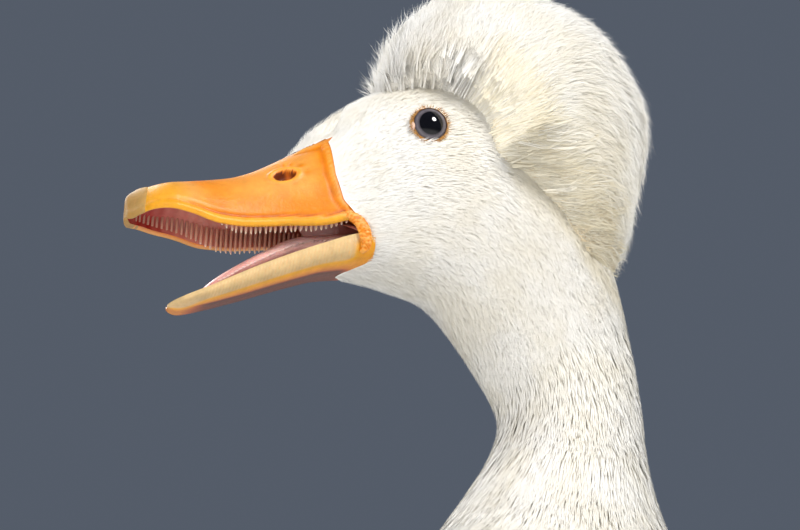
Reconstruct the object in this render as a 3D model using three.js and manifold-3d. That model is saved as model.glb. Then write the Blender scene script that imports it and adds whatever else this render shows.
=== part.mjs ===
// A crested duck, life size: a white domestic hen with a feather puff on her crown,
// standing with her neck up and her bill open. Millimetres, +Z up. She faces -X,
// her left side is towards -Y, and the origin is on the floor under the middle of her.
import * as THREE from "three";
import { mergeVertices } from "three/addons/utils/BufferGeometryUtils.js";
import Module from "manifold-3d";

const wasm = await Module();
wasm.setup();

// Driving dimensions. Heads are measured from the middle of the eye, and eyeHeight lifts them off the floor.
const eyeHeight = 408;
const gap = 0.3; // clearance kept between touching nodes
const eyeball = { x: 0, y: 12, z: 0, radius: 6.9 };
const upperBill = { tip: -82.6, base: -14, wall: 1.9, width: 12.8, tipRound: 13.4, roll: 0.55 };
const lowerBill = { tip: -69.6, base: -12, wall: 1.8, width: 9.6, tipRound: 9 };
const nostril = { x: -39.3, y: 7.6, z: -15.2, long: 2.9, deep: 3.2, high: 1.5 };
const nail = { x: -80, long: 8.2, wide: 6.6 };
const crest = {
  x: 26.5, z: 8, radius: 40.5, lateral: 35.5, rearStretch: 1.36, pole: -20, sweep: 46, core: 0.5, root: 0.46, vane: 16.5,
  // Polar angle of each tier's tips from the pole, and how many feathers it holds all round.
  tiers: [[15, 5], [37, 10], [59, 14], [81, 16], [102, 16], [122, 13], [140, 9]],
};
const foot = { x: 139, y: 43, toe: 62, web: 1.8 };
const hock = { x: 161, z: -350 };
const tail = { x: 284, z: -293, slope: -9, long: 88, spread: 34, feathers: 11 };
const plume = { thick: 1.25 }; // a solid vane's thickness along its shaft
// Folded wing: the sections it covers, and the point that its longest primaries reach.
const wingForm = { from: 14.9, to: 21.6, steps: 12, sides: 16, tip: { x: 326, y: 12, z: -279 }, bulge: 5 };
// Share of a vane's length, and how much of its full width it has there. It ends in a point just past the last.
const vaneShape = [[0, 0.6], [0.42, 1], [0.86, 0.8]];

// The whole body is one loft of sections. Each row is where a section meets the front or
// belly outline, where it meets the crown or back outline, and its half width.
const bodySections = [
  // front x, front z, back x, back z, half width
  [-27, -41, -40, -9.5, 10.5],
  [-19, -41.6, -32, 0, 13.2],
  [-12, -42.6, -22.5, 7.6, 16.2],
  [-5, -44.4, -10.5, 14.2, 18.4],
  [2, -46.6, 5, 17.6, 19.6],
  [7, -50.5, 22, 15.5, 20],
  [11, -55.5, 37, 6, 19.8],
  [15, -61, 48, -10, 19.4],
  [19, -67, 56, -31, 19.3],
  [22.8, -73, 61.2, -52, 19.6],
  [24.6, -79, 64.4, -71, 20.4],
  [23, -86, 65.8, -87, 22],
  [18.6, -94.5, 67.8, -98, 24.6],
  [6.7, -112, 72, -111, 30],
  [-9, -132, 81, -127, 38],
  [-23, -155, 98, -146, 48.5],
  [-32, -182, 122, -167, 59],
  [-34, -212, 149, -188, 68],
  [-26, -245, 177, -209, 74.5],
  [-2, -279, 206, -231, 77],
  [38, -309, 234, -252, 75],
  [88, -330, 258, -270, 67],
  [142, -338, 277, -285, 54],
  [196, -332, 292, -297, 38],
  [242, -319, 303, -306, 21],
];
const lastSection = bodySections.length - 1;

// Seeded random numbers, so that every build gives the same feathers.
let seed = 4242;
function random() {
  seed = (seed * 1664525 + 1013904223) % 4294967296;
  return seed / 4294967296;
}
const vary = (amount) => (random() * 2 - 1) * amount;
const radians = (degrees) => (degrees * Math.PI) / 180;
const mix = (a, b, t) => a + (b - a) * t;
const vector = (x, y, z) => new THREE.Vector3(x, y, z);

// A smooth value through evenly spaced numbers, at a place counted in steps.
function through(values, place) {
  const last = values.length - 1;
  const i = Math.min(Math.max(Math.floor(place), 0), last - 1);
  const t = Math.min(Math.max(place - i, 0), 1);
  const [a, b, c, d] = [i - 1, i, i + 1, i + 2].map((k) => values[Math.min(Math.max(k, 0), last)]);
  return 0.5 * (2 * b + (c - a) * t + (2 * a - 5 * b + 4 * c - d) * t * t + (3 * b - a - 3 * c + d) * t ** 3);
}
// A smooth value through [at, value] pairs.
function curve(pairs, at) {
  const last = pairs.length - 1;
  let i = 0;
  while (i < last - 1 && at > pairs[i + 1][0]) i += 1;
  const t = Math.min(Math.max((at - pairs[i][0]) / (pairs[i + 1][0] - pairs[i][0]), 0), 1);
  return through(pairs.map((pair) => pair[1]), i + t);
}

// Solids from triangles.
function solid(points, triangles) {
  const vertProperties = new Float32Array(points.flatMap((p) => [p.x, p.y, p.z]));
  const triVerts = new Uint32Array(triangles.flat());
  return new wasm.Manifold(new wasm.Mesh({ numProp: 3, vertProperties, triVerts }));
}
function solidOf(geometry) {
  geometry.deleteAttribute("normal");
  geometry.deleteAttribute("uv");
  const merged = mergeVertices(geometry, 1e-4);
  return new wasm.Manifold(
    new wasm.Mesh({
      numProp: 3,
      vertProperties: new Float32Array(merged.attributes.position.array),
      triVerts: new Uint32Array(merged.index.array),
    }),
  );
}
// A closed skin over rings of points, each ring closed by a fan at the two ends.
function loft(rings) {
  const count = rings[0].length;
  const points = rings.flat();
  const triangles = [];
  for (let r = 0; r + 1 < rings.length; r++)
    for (let k = 0; k < count; k++) {
      const a = r * count + k;
      const b = r * count + ((k + 1) % count);
      triangles.push([a, b, a + count], [b, b + count, a + count]);
    }
  const cap = (ring, start, forward) => {
    const centre = ring.reduce((sum, p) => sum.add(p), vector(0, 0, 0)).divideScalar(count);
    points.push(centre);
    for (let k = 0; k < count; k++) {
      const a = start + k;
      const b = start + ((k + 1) % count);
      triangles.push(forward ? [a, b, points.length - 1] : [b, a, points.length - 1]);
    }
  };
  cap(rings[0], 0, false);
  cap(rings[rings.length - 1], (rings.length - 1) * count, true);
  const made = solid(points, triangles);
  if (made.volume() > 0) return made;
  return solid(points, triangles.map(([a, b, c]) => [a, c, b]));
}
// A round tube along points, each with its own radii across (Y side) and along its turn.
function tube(stations, sides) {
  const centres = stations.map((s) => vector(s[0], s[1], s[2]));
  const rings = centres.map((centre, i) => {
    const before = centres[Math.max(i - 1, 0)];
    const after = centres[Math.min(i + 1, centres.length - 1)];
    const along = after.clone().sub(before).normalize();
    const side = vector(0, 1, 0).addScaledVector(along, -along.y).normalize();
    const up = side.clone().cross(along);
    return Array.from({ length: sides }, (_, k) => {
      const angle = (2 * Math.PI * k) / sides;
      return centre
        .clone()
        .addScaledVector(side, Math.cos(angle) * stations[i][3])
        .addScaledVector(up, Math.sin(angle) * (stations[i][4] ?? stations[i][3]));
    });
  });
  return loft(rings);
}
function ball(x, y, z, rx, ry, rz, detail) {
  const geometry = new THREE.IcosahedronGeometry(1, detail);
  geometry.scale(rx, ry, rz).translate(x, y, z);
  return solidOf(geometry);
}
// A shape drawn in side view (x, z), pushed out across the whole duck.
function sideBlock(outline, from, to) {
  const shape = new THREE.Shape(outline.map(([x, z]) => new THREE.Vector2(x, z)));
  const geometry = new THREE.ExtrudeGeometry(shape, { depth: to - from, bevelEnabled: false });
  geometry.rotateX(Math.PI / 2).translate(0, to, 0);
  return solidOf(geometry);
}
// A shape drawn in plan (x, y), pushed up from one height to another.
function planBlock(shape, from, to, segments) {
  const options = { depth: to - from, bevelEnabled: false, curveSegments: segments };
  const geometry = new THREE.ExtrudeGeometry(shape, options);
  geometry.translate(0, 0, from);
  return solidOf(geometry);
}
const join = (pieces) => wasm.Manifold.union(pieces);
// Joined forms keep their one largest closed surface.
const largest = (body) => body.decompose().sort((a, b) => b.volume() - a.volume())[0];

// A point on the body's surface: place counts sections, angle 0 is the back and 180 the belly.
function bodyPoint(place, angle, grow = 0) {
  const [fx, fz, bx, bz, width] = [0, 1, 2, 3, 4].map((c) => through(bodySections.map((row) => row[c]), place));
  const centre = vector((fx + bx) / 2, 0, (fz + bz) / 2);
  const half = vector(bx - fx, 0, bz - fz).multiplyScalar(0.5);
  const stretch = 1 + grow / half.length();
  // The trunk is fuller than an ellipse, and the belly broader than the back.
  const trunk = Math.min(Math.max((place - 13) / 5, 0), 1);
  const c = Math.cos(radians(angle));
  const s = Math.sin(radians(angle));
  const full = 1 + 0.1 * trunk * (1 - Math.abs(Math.abs(c) - 0.7) / 0.7);
  return centre
    .addScaledVector(half, c * stretch * full)
    .add(vector(0, s * (width + grow) * full * (1 - 0.07 * trunk * c), 0));
}
function bodyNormal(place, angle) {
  const along = bodyPoint(place + 0.05, angle).sub(bodyPoint(place - 0.05, angle));
  const around = bodyPoint(place, angle + 1).sub(bodyPoint(place, angle - 1));
  const normal = along.cross(around).normalize();
  const centre = bodyPoint(place, 0).add(bodyPoint(place, 180)).multiplyScalar(0.5);
  return normal.dot(bodyPoint(place, angle).sub(centre)) < 0 ? normal.negate() : normal;
}
function bodySolid(sides, grow = 0) {
  const places = [];
  for (let place = 0; place < 9; place += 0.6) places.push(place);
  for (let place = 9; place <= lastSection; place += 0.75) places.push(place);
  return loft(
    places.map((place) => Array.from({ length: sides }, (_, k) => bodyPoint(place, (360 * k) / sides, grow))),
  );
}

// One vane: a slim closed blade along a path, with a ridge at its shaft. The path gives
// a point and its outward normal for each share of the length.
function vane(path, width, tilt) {
  const rings = vaneShape.map(([t, wide]) => {
    const { point, normal } = path(t);
    const along = path(t + 0.02).point.sub(path(Math.max(t - 0.02, 0)).point).normalize();
    const side = along.clone().cross(normal).normalize().applyAxisAngle(along, radians(tilt));
    const up = side.clone().cross(along).normalize();
    const breadth = 0.5 * width * wide;
    const depth = 0.5 * plume.thick * (1 - 0.35 * t);
    return [
      point.clone().addScaledVector(side, breadth),
      point.clone().addScaledVector(up, depth + 0.08 * breadth),
      point.clone().addScaledVector(side, -breadth),
      point.clone().addScaledVector(up, -depth + 0.08 * breadth),
    ];
  });
  const points = rings.flat();
  const triangles = [[0, 2, 1], [0, 3, 2]];
  for (let r = 0; r + 1 < rings.length; r++)
    for (let k = 0; k < 4; k++) {
      const a = r * 4 + k;
      const b = r * 4 + ((k + 1) % 4);
      triangles.push([a, b, a + 4], [b, b + 4, a + 4]);
    }
  points.push(path(1).point);
  for (let k = 0; k < 4; k++) {
    const a = (rings.length - 1) * 4 + k;
    const b = (rings.length - 1) * 4 + ((k + 1) % 4);
    triangles.push([a, b, points.length - 1]);
  }
  const made = solid(points, triangles);
  return made.volume() > 0 ? made : solid(points, triangles.map(([a, b, c]) => [a, c, b]));
}
const group = new THREE.Group();
const materials = {};
function material(name, color, roughness) {
  materials[name] = new THREE.MeshStandardMaterial({ color, roughness, metalness: 0 });
}
material("plumage", 0xf3efe4, 0.85);
material("horn", 0xf0a01c, 0.45);
material("nail", 0xc9ac77, 0.4);
material("tongue", 0xc77f7a, 0.35);
material("eye", 0x2a2428, 0.08);
material("leg", 0xe88b1f, 0.6);

function node(name, body, kind) {
  const { vertProperties, triVerts, numProp } = largest(body).getMesh();
  const geometry = new THREE.BufferGeometry();
  const positions = new Float32Array((vertProperties.length / numProp) * 3);
  for (let i = 0; i < positions.length / 3; i++)
    for (let c = 0; c < 3; c++) positions[i * 3 + c] = vertProperties[i * numProp + c];
  geometry.setAttribute("position", new THREE.BufferAttribute(positions, 3));
  geometry.setIndex(new THREE.BufferAttribute(new Uint32Array(triVerts), 1));
  geometry.computeVertexNormals();
  const mesh = new THREE.Mesh(geometry, materials[kind]);
  mesh.name = name;
  mesh.position.z = eyeHeight;
  group.add(mesh);
}

// Head, neck and trunk, cut apart by thin planes.
const bodySides = 28;
const body = bodySolid(bodySides);
const grownBody = bodySolid(bodySides, gap + 0.15);

// A cut across the body at one section: what lies on the head's side, and what on the tail's.
function cutAt(place) {
  const front = bodyPoint(place, 180);
  const back = bodyPoint(place, 0);
  const along = back.clone().sub(front).normalize();
  const normal = vector(-along.z, 0, along.x); // towards the tail end of the loft
  const ahead = bodyPoint(place + 0.3, 0).add(bodyPoint(place + 0.3, 180)).multiplyScalar(0.5);
  if (normal.dot(ahead.sub(front)) < 0) normal.negate();
  return { normal, offset: normal.dot(front) };
}
function keepHeadSide(body, cut) {
  const n = cut.normal.clone().negate();
  return body.trimByPlane([n.x, n.y, n.z], -cut.offset + gap / 2);
}
function keepTailSide(body, cut) {
  return body.trimByPlane([cut.normal.x, cut.normal.y, cut.normal.z], cut.offset + gap / 2);
}
const cuts = { head: cutAt(8.8), neck: cutAt(11.4), trunk: cutAt(14.6) };

// The feather line of the bill in side view, from over the culmen down to the chin.
const featherLine = [[-30, 14], [-27, -3], [-26.2, -13], [-25.2, -21], [-20, -27.5], [-16.6, -32], [-15.4, -41], [-24, -60]];
const shifted = (by) => featherLine.map(([x, z]) => [x + by, z]);
const faceSide = sideBlock([...shifted(gap / 2), [-24, -140], [120, -140], [120, 60], [-30, 60]], -60, 60);
const billSide = sideBlock([[-30 - gap / 2, 60], [-120, 60], [-120, -60], ...shifted(-gap / 2).reverse()], -60, 60);
// The forehead feathers run out over the culmen in a rounded wedge.
const wedge = (grow) =>
  tube(
    [[-36 - grow, 0, -8.6, 0.8], [-31.6, 0, -6.6, 3.1], [-24.8, 0, -2.4, 6.2], [-16, 0, 1.6, 9.2]].map(
      ([x, y, z, radius]) => [x, y, z, radius + grow],
    ),
    12,
  );

const lidRing = (side) => {
  const geometry = new THREE.TorusGeometry(5.4, 1.2, 5, 14);
  geometry.scale(1.06, 0.98, 1).rotateX(Math.PI / 2).rotateZ(radians(side * 5));
  geometry.translate(eyeball.x, side * (eyeball.y + 4.5), eyeball.z);
  return solidOf(geometry);
};
const eyeBall = (side, grow) => ball(eyeball.x, side * eyeball.y, eyeball.z, ...Array(3).fill(eyeball.radius + grow), 3);
{
  const face = keepHeadSide(body, cuts.head).intersect(faceSide);
  const lidded = join([face, wedge(0), lidRing(-1), lidRing(1)]);
  node("head", lidded.subtract(join([eyeBall(-1, gap), eyeBall(1, gap)])), "plumage");
  node("eye_left", eyeBall(-1, 0), "eye");
  node("eye_right", eyeBall(1, 0), "eye");
  node("neck_upper", keepHeadSide(keepTailSide(body, cuts.head), cuts.neck), "plumage");
  node("neck_lower", keepHeadSide(keepTailSide(body, cuts.neck), cuts.trunk), "plumage");
  node("torso", keepTailSide(body, cuts.trunk), "plumage");
}

// Upper bill: an arched shell with a rolled lip, hollow over the tongue.
const culmen = [[-82.6, -24.8], [-81.4, -22.6], [-79, -21], [-75, -19.8], [-68, -18.4], [-61, -17.3], [-51, -15.2], [-43, -11.8], [-36, -7], [-28, -2], [-14, 4]];
const rim = [[-82.6, -25.6], [-81.4, -27.6], [-79, -28.2], [-75, -28.3], [-71, -28.9], [-65, -30.6], [-57, -32.2], [-41, -31.4], [-27, -30.4], [-20, -28.6], [-14, -28]];
const breadth = [[-70, 12.7], [-62, 12.5], [-50, 11.6], [-40, 11.6], [-30, 12.8], [-20, 14.6], [-14, 15.4]];
function billWidth(x) {
  const round = upperBill.tip + upperBill.tipRound;
  if (x > round) return curve(breadth, x);
  return upperBill.width * Math.sqrt(Math.max(1 - ((round - x) / upperBill.tipRound) ** 2, 0.0004));
}
function billStations(count, from, to) {
  return Array.from({ length: count + 1 }, (_, i) => mix(from, to, (i / count) ** 1.5));
}
function upperBillRing(x, inset, sides) {
  const top = curve(culmen, x) - inset;
  const low = curve(rim, x);
  const wide = Math.max(billWidth(x) - inset, 0.15);
  const power = mix(1.0, 0.72, Math.min(Math.max((x + 60) / 35, 0), 1));
  return Array.from({ length: sides + 1 }, (_, k) => {
    const angle = (Math.PI * k) / sides;
    const height = Math.sin(angle) ** power;
    // The lip is a soft roll along the lowest part of the edge.
    const roll = inset ? 0 : upperBill.roll * Math.exp(-(((height * (top - low) - 1.3) / 1.2) ** 2));
    const y = -Math.cos(angle) * (wide + roll);
    return vector(x, y, low + Math.max(top - low, 0.3) * height - (inset && (k === 0 || k === sides) ? 6 : 0));
  });
}
const upperStations = billStations(14, upperBill.tip, upperBill.base);
const upperOuter = loft(upperStations.map((x) => upperBillRing(x, 0, 16)));
const palate = loft(
  billStations(9, upperBill.tip + 3.4, upperBill.base + 1).map((x) => upperBillRing(x, upperBill.wall, 10)),
);
const nostrilBall = (side) => ball(nostril.x, side * nostril.y, nostril.z, nostril.long, nostril.deep, nostril.high, 2);
function upperComb() {
  const plates = [];
  const count = 11;
  for (const side of [-1, 1])
    for (let i = 0; i < count; i++) {
      const x = mix(-75, -33, i / (count - 1));
      const low = curve(rim, x) - mix(0.2, 1.6, Math.sin((Math.PI * i) / (count - 1)));
      const y = side * (billWidth(x) - upperBill.wall - 0.5);
      const geometry = new THREE.BoxGeometry(0.8, 2.4, 5.4);
      geometry.translate(x, y, low + 2.7);
      plates.push(solidOf(geometry));
    }
  return plates;
}
const nailPrism = (grow) => {
  const shape = new THREE.Shape();
  shape.absellipse(nail.x, 0, nail.long + grow, nail.wide + grow, 0, 2 * Math.PI);
  return planBlock(shape, -60, 20, 12);
};
{
  const shell = upperOuter.subtract(palate).intersect(billSide).subtract(wedge(gap));
  const combed = join([shell, ...upperComb()]).subtract(join([nostrilBall(-1), nostrilBall(1)]));
  node("bill_upper", combed.subtract(nailPrism(gap)), "horn");
  node("bill_nail", shell.intersect(nailPrism(0)), "nail");
}

// Tongue, lying up off the trough.
const tongueStations = [
  [-59, 0, -47.4, 2.2, 0.9], [-56, 0, -45.6, 4.4, 1.6], [-50, 0, -42, 5.6, 2.1],
  [-42, 0, -37.6, 6, 2.6], [-34, 0, -34, 6.4, 3.2], [-25, 0, -32.8, 7, 3.4], [-17.5, 0, -32, 7.4, 3.4],
];
const tongue = (grow) => tube(tongueStations.map(([x, y, z, wide, thick]) => [x, y, z, wide + grow, thick + grow]), 10);
node("tongue", tongue(0).intersect(billSide), "tongue");

// Lower bill: a shallow trough, with a ribbed edge along each side.
const lowerTop = [[-69.6, -52.6], [-67, -51.8], [-62, -50.2], [-51, -45.6], [-36, -38.2], [-24, -34], [-12, -31.6]];
const lowerKeel = [[-69.6, -53.2], [-67, -53.7], [-62, -52.3], [-51, -48.6], [-36, -43.4], [-24, -39.6], [-12, -37]];
const lowerBreadth = [[-62, 9.6], [-50, 10.2], [-38, 10.6], [-26, 11.8], [-12, 13.4]];
function lowerWidth(x) {
  const round = lowerBill.tip + lowerBill.tipRound;
  if (x > round) return curve(lowerBreadth, x);
  return lowerBill.width * Math.sqrt(Math.max(1 - ((round - x) / lowerBill.tipRound) ** 2, 0.0006));
}
function lowerBillRing(x, inset, sides) {
  const top = curve(lowerTop, x) + (inset ? 3 : 0);
  const low = curve(lowerKeel, x) + inset;
  const wide = Math.max(lowerWidth(x) - inset, 0.15);
  return Array.from({ length: sides + 1 }, (_, k) => {
    const angle = (Math.PI * k) / sides;
    return vector(x, -Math.cos(angle) * wide, top - (top - low) * Math.sin(angle) ** 0.6);
  });
}
{
  const outer = loft(billStations(10, lowerBill.tip, lowerBill.base).map((x) => lowerBillRing(x, 0, 12)));
  const trough = loft(
    billStations(7, lowerBill.tip + 5, lowerBill.base + 1).map((x) => lowerBillRing(x, lowerBill.wall, 8)),
  );
  const ribs = [];
  const count = 8;
  for (const side of [-1, 1])
    for (let i = 0; i < count; i++) {
      const x = mix(-54, -24, i / (count - 1));
      const geometry = new THREE.BoxGeometry(0.9, 1, mix(1.4, 3, i / count));
      geometry.rotateY(radians(12)).translate(x, side * (lowerWidth(x) - 0.15), curve(lowerTop, x) - 1.7);
      ribs.push(solidOf(geometry));
    }
  const body = join([outer.subtract(trough), ...ribs]).intersect(billSide).subtract(tongue(gap));
  node("bill_lower", body, "horn");
}

// The crest: feathers that rise from the crown and nape and bend over in a round puff.
const pole = vector(Math.cos(radians(crest.pole)), 0, Math.sin(radians(crest.pole)));
const ahead = vector(-Math.sin(radians(crest.pole)), 0, Math.cos(radians(crest.pole)));
function puffDirection(polar, azimuth) {
  const side = ahead.clone().multiplyScalar(Math.cos(azimuth)).add(vector(0, Math.sin(azimuth), 0));
  return pole.clone().multiplyScalar(Math.cos(polar)).addScaledVector(side, Math.sin(polar));
}
function puffPoint(direction, scale) {
  const low = Math.max(-direction.z + 0.15, 0) * Math.max(direction.x, 0) * 1.7;
  const radius = crest.radius * mix(1, crest.rearStretch, Math.min(low, 1));
  return vector(
    crest.x + direction.x * radius * scale,
    direction.y * crest.lateral * scale,
    crest.z + direction.z * radius * scale,
  );
}
// A feather rises from the core and sweeps back over the puff, towards the pole behind it.
function crestVane(polar, azimuth, width) {
  const sweep = Math.min(crest.sweep, (180 - polar) * 0.8);
  const scale = 1 + vary(0.035);
  const turn = vary(0.16);
  const path = (t) => {
    const rest = 1 - t;
    const direction = puffDirection(radians(polar + sweep * rest ** 1.15), azimuth + turn * rest);
    return { point: puffPoint(direction, scale * (1 - (1 - crest.root) * rest ** 1.9)), normal: direction };
  };
  return vane(path, width, 10);
}
{
  // The puff's lower edge in side view, from the brow down behind the cheek to the nape.
  const hairline = [[-40, 14], [2, 15], [11, 10], [16, -4], [19, -11], [28, -17], [38, -27], [54, -43], [80, -58]];
  const vanes = [];
  crest.tiers.forEach(([polar, count], tier) => {
    for (let i = 0; i < count; i++) {
      const azimuth = (2 * Math.PI * (i + 0.5 * (tier % 2) + vary(0.16))) / count;
      const tip = puffPoint(puffDirection(radians(polar), azimuth), 1);
      if (tip.z > curve(hairline, tip.x) - 1) {
        vanes.push(crestVane(polar + vary(3), azimuth, crest.vane + vary(1.5)));
      }
    }
  });
  const core = (x, z, share) => ball(x, 0, z, crest.radius * share, crest.lateral * share, crest.radius * share, 2);
  const pieces = join([core(crest.x, crest.z, crest.core), core(crest.x + 16, crest.z - 15, 0.36), ...vanes]);
  node("crest", pieces.subtract(grownBody), "plumage");
}

// Wings, folded over the flanks: each is one smooth form from the shoulder out to the tips of the primaries.
function wing(side) {
  const halfAngle = [[0, 5], [0.12, 20], [0.35, 30], [0.7, 30], [1, 19]];
  const rise = [[0, 2], [0.15, 6], [0.5, 9], [1, 7]];
  const rings = [];
  const ringAt = (share) => {
    const place = mix(wingForm.from, wingForm.to, share);
    const middle = mix(63, 54, share);
    return Array.from({ length: wingForm.sides }, (_, k) => {
      const turn = (2 * Math.PI * k) / wingForm.sides;
      const angle = side * (middle + curve(halfAngle, share) * Math.cos(turn));
      const lift = Math.sin(turn) > 0 ? curve(rise, share) * Math.sin(turn) ** 0.7 : 2.5 * Math.sin(turn);
      return bodyPoint(place, angle).addScaledVector(bodyNormal(place, angle), lift);
    });
  };
  for (let i = 0; i <= wingForm.steps; i++) rings.push(ringAt(i / wingForm.steps));
  // Past the last section the form runs on over the rump to its tip.
  const last = rings[rings.length - 1];
  const middle = last.reduce((sum, p) => sum.add(p), vector(0, 0, 0)).divideScalar(wingForm.sides);
  const tip = vector(wingForm.tip.x, side * wingForm.tip.y, wingForm.tip.z);
  for (const [t, grow] of [[0.2, 0.97], [0.4, 0.86], [0.6, 0.68], [0.8, 0.45], [0.94, 0.24], [1, 0.08]]) {
    const centre = middle.clone().lerp(tip, t);
    const bulge = wingForm.bulge * Math.sin(Math.PI * t);
    centre.add(vector(0, side * bulge, bulge));
    rings.push(last.map((p) => p.clone().sub(middle).multiplyScalar(grow).add(centre)));
  }
  return loft(rings).subtract(grownBody);
}
const wings = { left: wing(-1), right: wing(1) };
node("wing_left", wings.left, "plumage");
node("wing_right", wings.right, "plumage");

// Tail: a fan of rectrices between upper and lower coverts, on a short root.
{
  const along = vector(Math.cos(radians(tail.slope)), 0, Math.sin(radians(tail.slope)));
  const up = vector(-along.z, 0, along.x);
  const fan = (count, spread, long, lift, width, drop) => {
    for (let i = 0; i < count; i++) {
      const share = (i / (count - 1)) * 2 - 1;
      const angle = radians(spread * share);
      const aim = along.clone().multiplyScalar(Math.cos(angle)).add(vector(0, Math.sin(angle), 0));
      const start = vector(tail.x, 12 * share, tail.z).addScaledVector(up, lift - 2.5 * share * share);
      const length = long * (1 - 0.16 * share * share) + vary(1.5);
      const path = (t) => ({
        point: start.clone().addScaledVector(aim, length * t).addScaledVector(up, drop * t * t - 4.5 * Math.abs(share) * t),
        normal: up.clone().add(vector(0, 0.3 * share, 0)).normalize(),
      });
      pieces.push(vane(path, width, 8 * Math.sign(share)));
    }
  };
  const pieces = [
    tube([[262, 0, -291, 12, 9], [280, 0, -293.5, 17, 10], [298, 0, -296.5, 17, 8], [312, 0, -299, 12, 4.5]], 10),
  ];
  fan(tail.feathers, tail.spread, tail.long, 0, 17, 3);
  fan(4, 24, 52, 5.5, 22, -4);
  fan(4, 24, 56, -6.5, 22, 3);
  const body = join(pieces).subtract(grownBody).subtract(join([wings.left, wings.right]));
  node("tail", body, "plumage");
}

// Legs: a feathered thigh, a bare shank, and a webbed foot flat on the floor.
const floor = -eyeHeight;
function leg(side, name) {
  const y = side * foot.y;
  const thigh = tube(
    [[128, y * 0.98, -300, 30, 34], [138, y * 1.02, -318, 27, 30], [149, y, -335, 17, 18], [158, y, -347, 9.5, 9.5]],
    14,
  ).subtract(grownBody);
  node(`thigh_${name}`, thigh.trimByPlane([0, 0, 1], -346), "plumage");
  const shank = tube(
    [
      [159.5, y, -344, 6.4], [hock.x, y, hock.z, 7.4], [159, y, -356, 6.6], [154, y, -366, 5.1],
      [148.5, y, -378, 4.8], [143.5, y, -390, 5.2], [foot.x, y, floor + 9, 6],
    ],
    10,
  );
  node(`shank_${name}`, shank.trimByPlane([0, 0, -1], 346 + gap).trimByPlane([0, 0, 1], floor + 9.6), "leg");
  // Toes turned a little out from straight ahead. Each is a tapered tube with knuckles and a claw.
  const toes = [
    { turn: 24, long: foot.toe * 0.82 },
    { turn: 2, long: foot.toe },
    { turn: -20, long: foot.toe * 0.9 },
  ];
  const pieces = [tube([[foot.x, y, floor - 3, 7.6], [foot.x, y, floor + 4, 7.4], [foot.x, y, floor + 9.3, 6.2]], 12)];
  const tips = [];
  for (const toe of toes) {
    const turn = radians(toe.turn);
    const aim = vector(-Math.cos(turn), side * Math.sin(turn), 0);
    const at = (t, z) => vector(foot.x, y, floor + z).addScaledVector(aim, toe.long * t);
    const radii = [5.2, 4.5, 4.7, 3.9, 3.1];
    const stations = radii.map((radius, i) => {
      const p = at(i / (radii.length - 1), 3.6 - i * 0.26);
      return [p.x, p.y, p.z, radius, radius * 0.9];
    });
    pieces.push(tube(stations, 6));
    const claw = [0.96, 1.04, 1.1, 1.14].map((t, i) => {
      const p = at(t, 3 - 0.75 * i);
      return [p.x, p.y, p.z, 2.1 - 0.6 * i];
    });
    pieces.push(tube(claw, 4));
    tips.push(at(0.95, 0));
  }
  const shape = new THREE.Shape();
  shape.moveTo(foot.x + 3, y);
  shape.lineTo(tips[0].x, tips[0].y);
  for (const [from, to] of [[tips[0], tips[1]], [tips[1], tips[2]]]) {
    const middle = from.clone().add(to).multiplyScalar(0.5).lerp(vector(foot.x, y, 0), 0.2);
    shape.quadraticCurveTo(middle.x, middle.y, to.x, to.y);
  }
  pieces.push(planBlock(shape, floor, floor + foot.web, 5));
  const hind = [[0, 5], [8, 4.4], [15, 3.4], [21, 2.2]].map(([back, high], i) => [
    foot.x + 3 + back, y - side * back * 0.35, floor + high, [3.6, 3, 2.4, 1.2][i],
  ]);
  pieces.push(tube(hind, 6));
  node(`foot_${name}`, join(pieces).trimByPlane([0, 0, 1], floor), "leg");
}
leg(-1, "left");
leg(1, "right");

// The origin goes to the middle of the duck's length.
const bounds = new THREE.Box3().setFromObject(group, true);
for (const mesh of group.children) mesh.position.x -= (bounds.min.x + bounds.max.x) / 2;

export default group;
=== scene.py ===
import math

import bpy
import bmesh
import numpy as np
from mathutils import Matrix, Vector


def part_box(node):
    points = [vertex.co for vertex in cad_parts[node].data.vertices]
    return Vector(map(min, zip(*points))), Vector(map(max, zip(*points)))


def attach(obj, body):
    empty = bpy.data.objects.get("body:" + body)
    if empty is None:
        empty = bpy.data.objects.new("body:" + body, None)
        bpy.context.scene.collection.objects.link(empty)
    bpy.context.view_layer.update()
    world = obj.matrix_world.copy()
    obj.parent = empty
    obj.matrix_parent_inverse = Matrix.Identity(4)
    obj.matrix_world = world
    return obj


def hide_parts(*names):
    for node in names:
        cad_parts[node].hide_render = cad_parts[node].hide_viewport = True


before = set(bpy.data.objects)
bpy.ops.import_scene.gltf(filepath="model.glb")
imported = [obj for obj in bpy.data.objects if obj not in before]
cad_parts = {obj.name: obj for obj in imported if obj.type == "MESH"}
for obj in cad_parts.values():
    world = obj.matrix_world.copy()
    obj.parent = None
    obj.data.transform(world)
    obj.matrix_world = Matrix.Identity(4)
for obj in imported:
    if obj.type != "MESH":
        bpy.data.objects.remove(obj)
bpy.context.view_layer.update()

# A white crested duck hen, life size, with her bill open. Every place is worked out in millimetres
# from between the eyes, and toFrame puts such a point into the frame in metres.
eyeLow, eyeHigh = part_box("eye_left")
headCentre = np.array([(eyeLow[0] + eyeHigh[0]) / 2, 0, (eyeLow[2] + eyeHigh[2]) / 2])
rng = np.random.default_rng(4117)


def toFrame(points):
    return np.asarray(points, float) * 0.001 + headCentre


def srgb(code):
    # sRGB hex to linear, the one place where a colour is turned
    parts = [int(code[i : i + 2], 16) / 255 for i in (1, 3, 5)]
    return tuple(p / 12.92 if p <= 0.04045 else ((p + 0.055) / 1.055) ** 2.4 for p in parts) + (1.0,)


def deselectAll():
    bpy.ops.object.select_all(action="DESELECT")


def selectOnly(piece):
    deselectAll()
    piece.select_set(True)
    bpy.context.view_layer.objects.active = piece


def smooth(low, high, value):
    t = np.clip((value - low) / (high - low), 0, 1)
    return t * t * (3 - 2 * t)


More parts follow.
